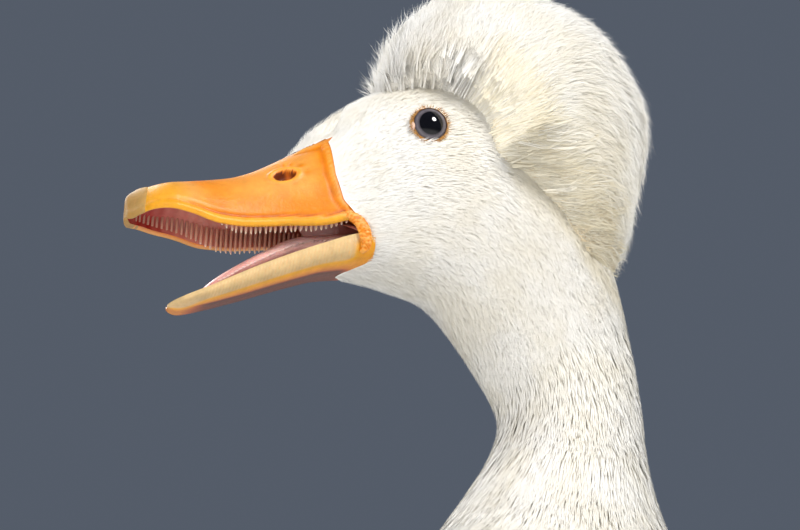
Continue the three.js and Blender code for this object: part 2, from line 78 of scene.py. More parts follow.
def bell(value, middle, width):
    return np.exp(-(((value - middle) / width) ** 2))


def unit(v):
    return v / np.maximum(np.linalg.norm(v, axis=-1, keepdims=True), 1e-9)


# Camera: left side, a little from the front and from below, as in the photo
camera = {"azimuth": -15, "elevation": -17, "distance": 1.1, "pixelsPerMm": 3.57, "eyePixel": (413.4, 144.2)}
az, el = math.radians(camera["azimuth"]), math.radians(camera["elevation"])
backWay = np.array([math.sin(az) * math.cos(el), -math.cos(az) * math.cos(el), math.sin(el)])
rightWay = np.array([math.cos(az), math.sin(az), 0])
upWay = np.cross(backWay, rightWay)
across = (400 - camera["eyePixel"][0]) / camera["pixelsPerMm"] * 0.001
above = (camera["eyePixel"][1] - 265) / camera["pixelsPerMm"] * 0.001
aim = headCentre + rightWay * across + upWay * above
deselectAll()
bpy.ops.object.camera_add(location=tuple(aim + backWay * camera["distance"]))
cameraObject = bpy.context.object
cameraObject.rotation_euler = Vector(tuple(-backWay)).to_track_quat("-Z", "Y").to_euler()
cameraObject.data.sensor_width = 36
cameraObject.data.lens = camera["pixelsPerMm"] * 1000 * camera["distance"] * 36 / 800
cameraObject.data.clip_start = 0.01
bpy.context.scene.camera = cameraObject

# Studio: a pale floor, a plain grey-blue surround, and soft lamps
studio = {
    "floor": "#cfd0cf",
    "surround": "#59616e",
    "surroundStrength": 0.9,
    "lamps": [
        # place, size, watts, colour, whether it shows in gloss
        ((0.5, -1.17, 1.29), 0.45, 22.5, "#fffdfa", True),
        ((-1.7, -1.5, 1.0), 1.8, 27, "#ffffff", False),
        ((-0.7, 1.5, 1.5), 1.0, 34, "#ffffff", True),
        ((1.5, 0.9, 0.9), 1.0, 16, "#f4f7ff", True),
        ((-1.1, -0.9, 0.08), 0.8, 4, "#fff4e6", False),
    ],
}


def addNode(tree, kind, settings, **links):
    made = tree.nodes.new(kind)
    for key, value in settings.items():
        if isinstance(key, str) and hasattr(made, key):
            setattr(made, key, value)
        else:
            made.inputs[key].default_value = value
    for key, source in links.items():
        socket = int(key[1:]) if key[1:].isdigit() else key.replace("_", " ")
        tree.links.new(source, made.inputs[socket])
    return made


def newMaterial(name, settings):
    material = bpy.data.materials.new(name)
    material.use_nodes = True
    shader = material.node_tree.nodes["Principled BSDF"]
    for socket, value in settings.items():
        shader.inputs[socket].default_value = value
    return material, material.node_tree, shader


def ramp(tree, fac, stops):
    made = addNode(tree, "ShaderNodeValToRGB", {}, Fac=fac)
    band = made.color_ramp
    for i, (position, colour) in enumerate(stops):
        stop = band.elements[i] if i < 2 else band.elements.new(position)
        stop.position = position
        stop.color = colour if isinstance(colour, tuple) else srgb(colour)
    return made.outputs["Color"]


def grey(value):
    return (value, value, value, 1.0)


def objectPlace(tree):
    return addNode(tree, "ShaderNodeTexCoord", {}).outputs["Object"]


def mixed(tree, fac, a, b, blend="MIX"):
    made = addNode(tree, "ShaderNodeMix", {"data_type": "RGBA", "blend_type": blend})
    for index, value in ((0, fac), (6, a), (7, b)):
        if isinstance(value, (int, float, tuple)):
            made.inputs[index].default_value = value
        elif isinstance(value, str):
            made.inputs[index].default_value = srgb(value)
        else:
            tree.links.new(value, made.inputs[index])
    return made.outputs[2]


def bump(tree, shader, height, strength, distance):
    made = addNode(tree, "ShaderNodeBump", {"Strength": strength, "Distance": distance}, Height=height)
    tree.links.new(made.outputs["Normal"], shader.inputs["Normal"])


plumage = {"white": "#faf8f3", "cream": "#efe6cd", "ochre": "#c99a4e"}


# Feather barb, white keratin: dull, with a little sheen. The tone
# attribute runs from 0, cream, to 1, clean white, and carries painted shade and painted light as well as an
# uneven tone.
def plumageMaterial(name, barbs=False):
    material, tree, shader = newMaterial(name, {
        "Roughness": 0.72, "Specular IOR Level": 0.25, "Sheen Weight": 0.15, "Sheen Roughness": 0.5,
    })
    tone = addNode(tree, "ShaderNodeAttribute", {"attribute_name": "tone"}).outputs["Fac"]
    base = ramp(tree, tone, [(0.0, plumage["ochre"]), (1.0, plumage["white"]), (0.45, plumage["cream"])])
    # cloudy staining about 12 mm across
    clouds = addNode(tree, "ShaderNodeTexNoise", {"Scale": 80.0, "Detail": 3.0}, Vector=objectPlace(tree))
    shade = ramp(tree, clouds.outputs["Fac"], [(0.35, "#f6f2e7"), (0.62, "#ffffff")])
    tree.links.new(mixed(tree, 0.5, base, shade, "MULTIPLY"), shader.inputs["Base Color"])
    if barbs:
        # fine lines beside the shaft stand for the barbs, about 0.6 mm apart, coarser than life so
        # that they show
        place = addNode(tree, "ShaderNodeUVMap", {"uv_map": "vane"}).outputs["UV"]
        wave = addNode(
            tree, "ShaderNodeTexWave", {"Scale": 2.6, "Distortion": 1.2, "Detail": 2.0, "Detail Scale": 3.0},
            Vector=place,
        )
        bump(tree, shader, wave.outputs["Fac"], 0.45, 0.0004)
    else:
        fine = addNode(tree, "ShaderNodeTexNoise", {"Scale": 900.0, "Detail": 2.0}, Vector=objectPlace(tree))
        bump(tree, shader, fine.outputs["Fac"], 0.3, 0.0003)
    return material


bodyFeather = plumageMaterial("body_feather_keratin")
vaneFeather = plumageMaterial("flight_feather_vane", barbs=True)


def meshPiece(name, points, faces, material, nodes=(), smoothed=True):
    mesh = bpy.data.meshes.new(name)
    mesh.from_pydata([tuple(p) for p in np.asarray(points)], [], [tuple(int(i) for i in f) for f in faces])
    mesh.validate()
    piece = bpy.data.objects.new(name, mesh)
    bpy.context.collection.objects.link(piece)
    mesh.materials.append(material)
    if smoothed:
        mesh.polygons.foreach_set("use_smooth", [True] * len(mesh.polygons))
    finishPiece(piece, nodes)
    return piece


def finishPiece(piece, nodes=()):
    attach(piece, "root")
    if nodes:
        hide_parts(*nodes)


def gridFaces(rows, columns, wrap=False, offset=0):
    faces = []
    for r in range(rows - 1):
        for c in range(columns if wrap else columns - 1):
            a = r * columns + c
            b = r * columns + (c + 1) % columns
            faces.append((offset + a, offset + b, offset + b + columns, offset + a + columns))
    return faces


def fanFaces(first, count, tip):
    # closes a ring of points onto one more
    return [(first + c, first + (c + 1) % count, tip) for c in range(count)]


def rimFaces(rows, count, first):
    # joins both sides and the front of a half shell to its inner edge, whose points start at first
    faces = []
    for r in range(rows - 1):
        near, far = r * count, r * count + count - 1
        faces.append((near, near + count, first + r + 1, first + r))
        faces.append((far, first + rows + r, first + rows + r + 1, far + count))
    front = first + 2 * rows
    return faces + [(c, front + c, front + c + 1, c + 1) for c in range(count - 1)]


def vaneFaces(count, rows, columns):
    # triangles of many vanes of one size, one after the other
    quads = np.array(gridFaces(rows, columns))
    triangles = np.concatenate([quads[:, [0, 1, 2]], quads[:, [0, 2, 3]]])
    return (np.arange(count)[:, None, None] * rows * columns + triangles[None]).reshape(-1, 3)


bakePatch = 0.003  # side of one feather's patch of the bake map


def vaneUnwrap(roots, rows, columns):
    # a small patch of the bake map for each vane
    patch = np.stack(
        np.meshgrid(np.linspace(0, bakePatch, columns), np.linspace(0, bakePatch, rows)), axis=-1,
    )
    return (roots[:, None] + patch.reshape(1, -1, 2)).reshape(-1, 2)


def turnedOut(piece):
    # merged and turned outwards, for shapes closed at both ends
    work = bmesh.new()
    work.from_mesh(piece.data)
    bmesh.ops.remove_doubles(work, verts=work.verts, dist=1e-6)
    bmesh.ops.recalc_face_normals(work, faces=work.faces)
    work.to_mesh(piece.data)
    work.free()


# Body: the same sections as the solids, front x, front z, back x, back z, half width
bodySections = np.array([
    [-27, -41, -40, -9.5, 10.5], [-19, -41.6, -32, 0, 13.2], [-12, -42.6, -22.5, 7.6, 16.2],
    [-5, -44.4, -10.5, 14.2, 18.4], [2, -46.6, 5, 17.6, 19.6], [7, -50.5, 22, 15.5, 20],
    [11, -55.5, 37, 6, 19.8], [15, -61, 48, -10, 19.4], [19, -67, 56, -31, 19.3],
    [22.8, -73, 61.2, -52, 19.6], [24.6, -79, 64.4, -71, 20.4], [23, -86, 65.8, -87, 22],
    [18.6, -94.5, 67.8, -98, 24.6], [6.7, -112, 72, -111, 30], [-9, -132, 81, -127, 38],
    [-23, -155, 98, -146, 48.5], [-32, -182, 122, -167, 59], [-34, -212, 149, -188, 68],
    [-26, -245, 177, -209, 74.5], [-2, -279, 206, -231, 77], [38, -309, 234, -252, 75],
    [88, -330, 258, -270, 67], [142, -338, 277, -285, 54], [196, -332, 292, -297, 38],
    [242, -319, 303, -306, 21],
])
lastSection = len(bodySections) - 1


def through(values, place):
    last = len(values) - 1
    i = np.clip(np.floor(place).astype(int), 0, last - 1)
    t = np.clip(place - i, 0, 1)[..., None]
    a, b, c, d = (values[np.clip(i + k, 0, last)] for k in (-1, 0, 1, 2))
    return 0.5 * (2 * b + (c - a) * t + (2 * a - 5 * b + 4 * c - d) * t**2 + (3 * b - a - 3 * c + d) * t**3)


def bodyPoint(place, angle, grow=0.0):
    # a point on the outer face of the plumage: place counts sections, angle 0 is the back, 180 the belly
    place, angle, grow = np.broadcast_arrays(np.asarray(place, float), angle, grow)
    row = through(bodySections, place)
    front, back = row[..., 0:2], row[..., 2:4]
    centre, half = (front + back) / 2, (back - front) / 2
    stretch = 1 + grow / np.linalg.norm(half, axis=-1)
    trunk = np.clip((place - 13) / 5, 0, 1)
    c, s = np.cos(np.radians(angle)), np.sin(np.radians(angle))
    full = 1 + 0.1 * trunk * (1 - np.abs(np.abs(c) - 0.7) / 0.7)
    side = s * (row[..., 4] + grow) * full * (1 - 0.07 * trunk * c)
    middle = centre + half * (c * stretch * full)[..., None]
    return np.stack([middle[..., 0], side, middle[..., 1]], axis=-1)


def bodyFrame(place, angle):
    # length in mm of one step along and of one degree round, and the outward normal
    along = (bodyPoint(place + 0.05, angle) - bodyPoint(place - 0.05, angle)) / 0.1
    around = (bodyPoint(place, angle + 1) - bodyPoint(place, angle - 1)) / 2
    normal = unit(np.cross(along, around))
    centre = (bodyPoint(place, 0 * angle) + bodyPoint(place, 0 * angle + 180)) / 2
    out = bodyPoint(place, angle) - centre
    normal *= np.sign(np.sum(normal * out, axis=-1))[..., None]
    return np.linalg.norm(along, axis=-1), np.linalg.norm(around, axis=-1), normal


def coatDepth(place):
    return np.interp(place, [0, 3, 8, 12, 16, 24], [0.7, 1.1, 1.5, 1.8, 2.4, 2.4])


# Bill outline: the culmen and the rim in side view, and the half width of the rim
culmen = np.array([
    [-82.6, -25.8], [-81.5, -23.4], [-79, -20.9], [-75, -19.3], [-71.5, -18.2], [-65, -17.1], [-57.6, -15.9],
    [-52, -14.7], [-46.5, -12.6], [-41, -9.7], [-35.4, -6.5], [-28, -2], [-14, 4],
])
rim = np.array([
    [-82.6, -26.4], [-81.5, -28.8], [-80.6, -29.5], [-78.6, -29.1], [-76.2, -28.5], [-71.8, -28.5],
    [-65.4, -29.6], [-58.7, -31.5], [-53, -31.9], [-38.5, -30.7], [-26.6, -29.7], [-22.4, -28.4],
    [-14, -27.2],
])
breadth = np.array(
    [[-70, 12.7], [-62, 12.5], [-50, 11.6], [-40, 11.6], [-30, 12.8], [-24, 13.6], [-20, 13.6], [-14, 12.2]]
)


def curveAt(pairs, x):
    # smooth through the pairs, read by x
    knots = pairs[:, 0]
    place = np.interp(x, knots, np.arange(len(knots)))
    i = np.clip(np.floor(place).astype(int), 0, len(knots) - 2)
    slopes = np.gradient(pairs[:, 1], knots)
    width = knots[i + 1] - knots[i]
    t = np.clip((x - knots[i]) / width, 0, 1)
    y0, y1, m0, m1 = pairs[i, 1], pairs[i + 1, 1], slopes[i] * width, slopes[i + 1] * width
    start = (2 * t**3 - 3 * t**2 + 1) * y0 + (t**3 - 2 * t**2 + t) * m0
    return start + (-2 * t**3 + 3 * t**2) * y1 + (t**3 - t**2) * m1


def billWidth(x):
    blunt = 12.8 * np.clip(1 - ((-69.2 - x) / 12.8) ** 2, 0.0002, None) ** 0.9
    return np.where(x < -69.2, blunt, curveAt(breadth, np.maximum(x, -69.2)))


# The crest's lower edge in side view, from the brow down behind the cheek to the nape
creaseLine = np.array([
    [-40, 11], [-13, 14.6], [3, 16.6], [8.3, 16.0], [13.4, 12.8], [16.5, 8.4], [18.4, 4.2], [18.9, -5],
    [20.8, -8.5], [26.9, -11.3], [32.4, -16], [38.5, -21.5], [42.6, -26.7], [47.3, -32.5], [54.8, -38],
    [80, -60],
])


# Where the face feathers end on the bill, in side view from the brow to the chin
featherLine = np.array([
    [-24.2, 0], [-24.2, -1.3], [-26.3, -4.0], [-26.1, -6], [-25.9, -9.9], [-25.5, -15], [-23.4, -22.7],
    [-20.3, -26.1], [-17.1, -29.9], [-16.4, -34.3], [-16.0, -38.4], [-24, -41.2], [-60, -46], [-400, -60],
])


def coverDepth(point):
    # how far behind the edge of the feathers a point is, in mm: behind the line, or on the wedge over
    # the culmen
    behind = point[..., 0] - np.interp(-point[..., 2], -featherLine[:, 1], featherLine[:, 0])
    wedge = np.interp(
        point[..., 0], [-37.6, -35, -30, -24.2, -15], [-0.6, 1.8, 4.2, 5.3, 6.5],
    ) - np.abs(point[..., 1])
    return np.maximum(behind, np.where(point[..., 2] > -14, wedge, -99))


def fitToBill(points, off=0.35):
    # near their edge the feathers come down to the face of the bill
    flat = points.reshape(-1, 3).copy()
    depth = coverDepth(flat)
    x = np.clip(flat[:, 0], -82, -14)
    picked = np.flatnonzero((depth < 4.5) & (flat[:, 2] > curveAt(rim, x)) & (flat[:, 0] < -12))
    x, y, low = x[picked], flat[picked, 1], curveAt(rim, x[picked])
    up = flat[picked, 2] - low
    turn = np.linspace(0, np.pi / 2, 40)[None]
    power = (1 - 0.28 * np.clip((x + 60) / 35, 0, 1))[:, None]
    wide = np.cos(turn) * billWidth(x)[:, None]
    high = np.sin(turn) ** power * (curveAt(culmen, x) - low)[:, None]
    bearing = np.arctan2(high, wide)
    own = np.arctan2(up, np.abs(y))
    slot = np.clip((bearing < own[:, None]).sum(axis=1), 1, 39)
    line = np.arange(len(picked))
    b0, b1 = bearing[line, slot - 1], bearing[line, slot]
    part = np.clip((own - b0) / np.maximum(b1 - b0, 1e-6), 0, 1)
    reach = np.hypot(wide, high)
    target = reach[line, slot - 1] * (1 - part) + reach[line, slot] * part + off
    weight = 1 - smooth(0, 4.5, depth[picked])
    scale = 1 + weight * (target / np.maximum(np.hypot(y, up), 0.5) - 1)
    flat[picked, 1] = y * scale
    flat[picked, 2] = low + up * scale
    return flat.reshape(points.shape)


def nearEye(point, radius):
    # within a round hole in the face on either side
    return (point[..., 0] ** 2 + point[..., 2] ** 2 < radius**2) & (np.abs(point[..., 1]) > 8)


def unwrapPlace(place, angle):
    # the skin's own unwrap: along the body, and round it
    return np.stack([0.02 + 0.96 * place / lastSection, 0.02 + 0.96 * ((angle + 180) % 360) / 360], axis=-1)


print("skin")
skin = {"faceSteps": 130, "neckSteps": 190, "stepsRound": 200, "thighSides": 32, "underThigh": 1.6}
alongPlaces = np.concatenate([
    np.linspace(0, 4, skin["faceSteps"], endpoint=False), np.linspace(4, lastSection, skin["neckSteps"]),
])
roundAngles = np.linspace(-180, 180, skin["stepsRound"], endpoint=False)
placeGrid, angleGrid = np.meshgrid(alongPlaces, roundAngles, indexing="ij")
skinPoints = fitToBill(bodyPoint(placeGrid, angleGrid, -coatDepth(placeGrid)))
rows, columns = placeGrid.shape
flatOuter = skinPoints.reshape(-1, 3)
flatDepth = coverDepth(flatOuter)
quads = np.array(gridFaces(rows, columns, wrap=True))
quadMiddle = flatOuter[quads].mean(axis=1)
kept = quads[(flatDepth[quads].max(axis=1) > 0) & ~nearEye(quadMiddle, 4.4)]
# the edge itself is drawn onto the feather line
edge = np.unique(kept[flatDepth[kept] < 0])
flatOuter[edge, 0] += np.clip(-flatDepth[edge], 0, 1.2)
skinPoints = flatOuter.reshape(skinPoints.shape)
skinFaces = [tuple(f) for f in kept]
tailEnd = len(flatOuter)
skinFaces += fanFaces((rows - 1) * columns, columns, tailEnd)
allSkin = np.vstack([skinPoints.reshape(-1, 3), skinPoints[-1].mean(axis=0)[None]])


def tubeRings(stations, sides):
    stations = np.asarray(stations, float)
    centres = stations[:, :3]
    along = unit(np.gradient(centres, axis=0))
    side = unit(np.array([0, 1.0, 0]) - along * along[:, 1:2])
    up = np.cross(side, along)
    turn = np.linspace(0, 2 * np.pi, sides, endpoint=False)
    wide, thick = stations[:, 3:4], stations[:, 4:5]
    return (
        centres[:, None]
        + side[:, None] * (np.cos(turn)[None] * wide)[..., None]
        + up[:, None] * (np.sin(turn)[None] * thick)[..., None]
    )


def finerStations(stations, count):
    stations = np.asarray(stations, float)
    return through(stations, np.linspace(0, len(stations) - 1, count))


footY = 43.0
thighStations = {
    side: finerStations(
        [
            [128, side * footY * 0.98, -300, 30, 34], [138, side * footY * 1.02, -318, 27, 30],
            [149, side * footY, -335, 17, 18], [157, side * footY, -345.5, 9.8, 9.8],
        ],
        22,
    )
    for side in (-1, 1)
}
skinUv = [unwrapPlace(placeGrid, angleGrid).reshape(-1, 2), np.array([[0.98, 0.5]])]
for side in (-1, 1):
    stations = thighStations[side].copy()
    stations[:, 3:] -= skin["underThigh"]
    rings = tubeRings(stations, skin["thighSides"])
    base = len(allSkin)
    allSkin = np.vstack([allSkin, rings.reshape(-1, 3), rings[-1].mean(axis=0)[None]])
    skinFaces += gridFaces(len(stations), skin["thighSides"], wrap=True, offset=base)
    lastRing = base + (len(stations) - 1) * skin["thighSides"]
    skinFaces += fanFaces(lastRing, skin["thighSides"], lastRing + skin["thighSides"])
    spread = np.linspace(0, 1, len(rings) * skin["thighSides"] + 1)[:, None]
    skinUv.append(np.hstack([0.86 + 0.1 * spread, 0.3 + 0.2 * side * spread + 0.2]))
skinPiece = meshPiece(
    "body_skin", toFrame(allSkin), skinFaces, bodyFeather,
    ("head", "neck_upper", "neck_lower", "torso", "thigh_left", "thigh_right"),
)
skinUv = np.vstack(skinUv)


def setTone(mesh, values):
    tone = mesh.attributes.new("tone", "FLOAT", "POINT")
    tone.data.foreach_set("value", np.asarray(values, np.float32))


def setUv(mesh, name, perVertex):
    layer = mesh.uv_layers.new(name=name)
    index = np.empty(len(mesh.loops), np.int32)
    mesh.loops.foreach_get("vertex_index", index)
    layer.data.foreach_set("uv", np.asarray(perVertex, np.float32)[index].ravel())


def paintedLightShadeTone(point, place):
    # painted shade, cream, along the crease where head meets crest, and painted light, whitest, on the front
    # of the face; 1 is clean white
    tone = np.full(len(point), 0.9)
    crease = np.abs(point[:, 2] - np.interp(point[:, 0], creaseLine[:, 0], creaseLine[:, 1]))
    tone -= 0.3 * bell(crease, 0, 5) * (place < 10) * (np.abs(point[:, 1]) > 6)
    tone += 0.1 * smooth(10, -10, point[:, 0]) * (place < 8)
    return tone


# the skin's tone: painted shade along the crease and painted light on the front of the face, even on the
# thighs
setTone(
    skinPiece.data,
    np.concatenate(
        [paintedLightShadeTone(allSkin[: len(flatOuter)], placeGrid.ravel()), np.full(len(allSkin) - len(flatOuter), 0.8)]
    ),
)
setUv(skinPiece.data, "OFBake", skinUv)
work = bmesh.new()
work.from_mesh(skinPiece.data)
bmesh.ops.delete(work, geom=[v for v in work.verts if not v.link_faces], context="VERTS")
bmesh.ops.recalc_face_normals(work, faces=work.faces)
work.to_mesh(skinPiece.data)
work.free()


def coatPiece(name, points, faces, normals, tones, uvs, material, nodes=()):
    # a coat: blades or vanes shaded by the lie of the coat, each with its own patch of the bake map
    mesh = bpy.data.meshes.new(name)
    faces = np.array(faces, np.int32)
    corners = points[faces]
    facing = np.cross(corners[:, 1] - corners[:, 0], corners[:, 2] - corners[:, 0])
    wrong = np.sum(facing * normals[faces].sum(axis=1), axis=1) < 0
    faces[wrong] = faces[wrong][:, ::-1]
    size = faces.shape[1]
    mesh.vertices.add(len(points))
    mesh.vertices.foreach_set("co", toFrame(points).astype(np.float32).ravel())
    mesh.loops.add(faces.size)
    mesh.loops.foreach_set("vertex_index", faces.ravel())
    mesh.polygons.add(len(faces))
    mesh.polygons.foreach_set("loop_start", np.arange(0, faces.size, size, dtype=np.int32))
    mesh.polygons.foreach_set("use_smooth", np.ones(len(faces), bool))
    mesh.update(calc_edges=True)
    setTone(mesh, tones)
    setUv(mesh, "OFBake", uvs)
    mesh.normals_split_custom_set_from_vertices([tuple(n) for n in unit(normals)])
    mesh.materials.append(material)
    piece = bpy.data.objects.new(name, mesh)
    bpy.context.collection.objects.link(piece)
    finishPiece(piece, nodes)
    return piece


def bladeSides(paths, normals):
    return unit(np.cross(np.gradient(paths, axis=1), normals))[:, :-1]


def blades(paths, sides, normals, widths, tones, uvs, tipTone=0.06):
    # thin blades along paths of shape (count, stations, 3), pointed at the last station
    count, stations, _ = paths.shape
    t = np.linspace(0, 1, stations)[:-1]
    half = 0.5 * widths[:, None] * (1 - 0.55 * t[None])
    left = paths[:, :-1] - sides * half[..., None]
    right = paths[:, :-1] + sides * half[..., None]
    points = np.concatenate([np.stack([left, right], axis=2).reshape(count, -1, 3), paths[:, -1:]], axis=1)
    per = points.shape[1]
    pattern = []
    for s in range(stations - 2):
        a = 2 * s
        pattern += [(a, a + 1, a + 3), (a, a + 3, a + 2)]
    pattern.append((per - 3, per - 2, per - 1))
    faces = (np.arange(count)[:, None, None] * per + np.array(pattern)[None]).reshape(-1, 3)
    allNormals = np.repeat(normals, per, axis=0)
    # darker at the root and lighter at the tip: painted shade deep in the coat
    allTones = np.repeat(tones, per) + np.tile(np.linspace(-tipTone, tipTone, per), count)
    patch = np.stack([np.tile([0.0, bakePatch], per)[:per], np.linspace(0, bakePatch, per)], axis=-1)
    allUvs = (uvs[:, None] + patch[None]).reshape(-1, 2)
    return points.reshape(-1, 3), faces, allNormals, allTones, allUvs


def coatRoots(count, fromPlace, toPlace):
    # evenly spread over the body's surface by area
    place = rng.uniform(fromPlace, toPlace, count * 3)
    angle = rng.uniform(-180, 180, count * 3)
    stepAlong, stepRound, _ = bodyFrame(place, angle)
    weight = stepAlong * stepRound
    keep = rng.uniform(0, 1, len(place)) < weight / np.quantile(weight, 0.98)
    point = bodyPoint(place, angle)
    keep &= (coverDepth(fitToBill(bodyPoint(place, angle, -coatDepth(place)))) > 0.1) & ~nearEye(point, 5.0)
    picked = np.flatnonzero(keep)[:count]
    return place[picked], angle[picked]


def coatBlades(name, coat):
    # hair-like face and neck feathers that follow the skin
    place, angle = coatRoots(int(coat["count"] * density), *coat["span"])
    stepAlong, stepRound, _ = bodyFrame(place, angle)
    size = np.interp(place, *coat["length"]) * rng.uniform(0.7, 1.25, len(place))
    drift = rng.normal(0, coat["tilt"], len(place))
    # locks: neighbours lean alike
    clump = np.sin(place * 9.1 + np.sin(angle * 0.19) * 2.2) * np.sin(angle * 0.23 + place * 2.3)
    drift = drift + 0.15 * clump
    t = np.linspace(0, 1, coat["stations"])[None]
    run = (size / stepAlong)[:, None] * t
    turn = (size * drift / stepRound)[:, None] * t**1.4
    lift = np.interp(place, *coat["lift"]) * rng.uniform(0.4, 1.3, len(place))
    depth = -coatDepth(place)[:, None] * (1 - t) ** 1.2 + lift[:, None] * t
    farPlace = np.clip(place[:, None] + run, 0, lastSection)
    farAngle = angle[:, None] + turn
    outward = bodyFrame(farPlace, farAngle)[2]
    base = fitToBill(bodyPoint(farPlace, farAngle, -coatDepth(farPlace)))
    paths = base + outward * (depth + coatDepth(farPlace))[..., None]
    aim = unit(np.gradient(paths, axis=1))
    sides = unit(np.cross(aim, outward))[:, :-1]
    roll = rng.normal(0, 0.07, len(place))[:, None, None]
    sides = unit(sides + outward[:, :-1] * roll)
    shading = unit(outward[:, 1] + 0.05 * rng.normal(0, 1, (len(place), 3)))
    root = bodyPoint(place, angle)
    # painted shade along the crease and painted light on the front of the face, with a little random tone
    tones = paintedLightShadeTone(root, place) + rng.normal(0, 0.02, len(place))
    uvs = unwrapPlace(place, angle)
    widths = np.interp(place, *coat["width"]) * rng.uniform(0.7, 1.3, len(place))
    for part in range(coat["pieces"]):
        chosen = np.arange(part, len(place), coat["pieces"])
        data = blades(
            paths[chosen], sides[chosen], shading[chosen], widths[chosen], tones[chosen], uvs[chosen],
        )
        coatPiece(f"{name}_{part + 1}", *data, bodyFeather)


print("face and neck coat")
density = 1.0
# lengths, widths and lifts in mm, each by place along the body
coats = {
    "face_coat": {
        "count": 78000, "span": (0, 8.6), "tilt": 0.12, "pieces": 2, "stations": 3,
        "length": ([0, 1, 4, 8], [1.5, 2.2, 3.4, 5.6]),
        "width": ([0, 4, 8], [0.22, 0.28, 0.38]),
        "lift": ([0, 4, 8], [0.08, 0.12, 0.2]),
    },
    "neck_coat": {
        "count": 66000, "span": (7.6, 16.4), "tilt": 0.06, "pieces": 2, "stations": 4,
        "length": ([7, 10, 14, 16], [7, 9.5, 12.5, 15]),
        "width": ([7, 10, 14, 16], [0.45, 0.7, 0.85, 1.0]),
        "lift": ([7, 14], [0.14, 0.22]),
    },
}
for name, coat in coats.items():
    coatBlades(name, coat)


def contourFeathers(name, place, angle, size, wide, high, tones, split, rows=6, columns=5, fringe=9):
    # body feathers: broad round-tipped vanes that lie over the skin, with loose barbs at the tip
    count = len(place)
    stepAlong, stepRound, _ = bodyFrame(place, angle)
    t = np.linspace(0, 1, rows)[None, :, None]
    s = np.linspace(-1, 1, columns)[None, None, :]
    outline = np.interp(t, [0, 0.3, 0.65, 0.85, 1], [0.45, 0.85, 1.0, 0.86, 0.4])
    roundTip = -0.2 * s**2 * smooth(0.5, 1, t)
    run = (size / stepAlong)[:, None, None] * (t + roundTip)
    turn = (wide * 0.5 / stepRound)[:, None, None] * s * outline
    drift = (rng.normal(0, 0.1, count) * size / stepRound)[:, None, None] * t
    farPlace = np.clip(place[:, None, None] + run, 0, lastSection)
    farAngle = angle[:, None, None] + turn + drift
    outward = bodyFrame(farPlace, farAngle)[2]
    tilt = rng.uniform(0.5, 1.2, count)[:, None, None]
    lift = (
        high[:, None, None] * smooth(0, 0.75, t)
        - coatDepth(place)[:, None, None] * (1 - smooth(0, 0.4, t)) * 0.7
    )
    lift = lift - 0.6 * (s**2) * smooth(0.1, 0.7, t) + 0.35 * tilt * s * np.sign(angle)[:, None, None]
    points = bodyPoint(farPlace, farAngle) + outward * lift[..., None]
    per = rows * columns
    # loose barbs past the rounded end
    pick = np.linspace(0, columns - 1, fringe)
    low = np.floor(pick).astype(int).clip(0, columns - 2)
    part = (pick - low)[None, :, None]
    endRow = points[:, -1]
    before = points[:, -2]
    start = endRow[:, low] * (1 - part) + endRow[:, low + 1] * part
    back = before[:, low] * (1 - part) + before[:, low + 1] * part
    aim = unit(start - back)
    reach = rng.uniform(0.8, 2.6, (count, fringe, 1)) * np.clip(size[:, None, None] / 20, 0.5, 1.6)
    tips = start + aim * reach
    sideWay = unit(points[:, -1, -1] - points[:, -1, 0])[:, None]
    width = 0.36 * np.clip(size[:, None, None] / 20, 0.6, 1.6)
    barbPoints = np.stack(
        [start - aim * 1.2 - sideWay * width, start - aim * 1.2 + sideWay * width, tips], axis=2,
    )
    normals = outward.reshape(count, per, 3)
    spin = unit(normals + rng.normal(0, 0.07, (count, 1, 3)))
    chosenUv = unwrapPlace(place, angle)
    vaneUv = np.stack(np.broadcast_arrays(s * 0.5 * outline, t), axis=-1)
    for k in range(split):
        chosen = np.arange(k, count, split)
        n = len(chosen)
        vanePoints = points[chosen].reshape(-1, 3)
        extra = barbPoints[chosen].reshape(-1, 3)
        extraFaces = np.arange(len(extra)).reshape(-1, 3) + len(vanePoints)
        allPoints = np.vstack([vanePoints, extra])
        allNormals = np.vstack(
            [spin[chosen].reshape(-1, 3), np.repeat(normals[chosen, -1], fringe * 3, axis=0)]
        )
        # darker at the root, under the row above, and lighter at the tip and fringe: painted shade between
        # the rows
        vaneTone = tones[chosen, None] + np.linspace(-0.12, 0.04, rows).repeat(columns)[None]
        allTones = np.concatenate([vaneTone.ravel(), np.repeat(tones[chosen] + 0.04, fringe * 3)])
        uvExtra = np.repeat(chosenUv[chosen], fringe * 3, axis=0) + np.tile(
            [[0, 0.0022], [0.003, 0.0022], [0.0015, 0.003]], (n * fringe, 1)
        )
        piece = coatPiece(
            f"{name}_{k + 1}", allPoints, np.vstack([vaneFaces(n, rows, columns), extraFaces]), allNormals,
            allTones,
            np.vstack([vaneUnwrap(chosenUv[chosen], rows, columns), uvExtra]), bodyFeather,
        )
        local = np.concatenate([
            np.broadcast_to(vaneUv, (n,) + vaneUv.shape[1:]).reshape(-1, 2)
            * np.repeat(size[chosen] / 10, per)[:, None],
            np.zeros((len(extra), 2)),
        ])
        setUv(piece.data, "vane", local)


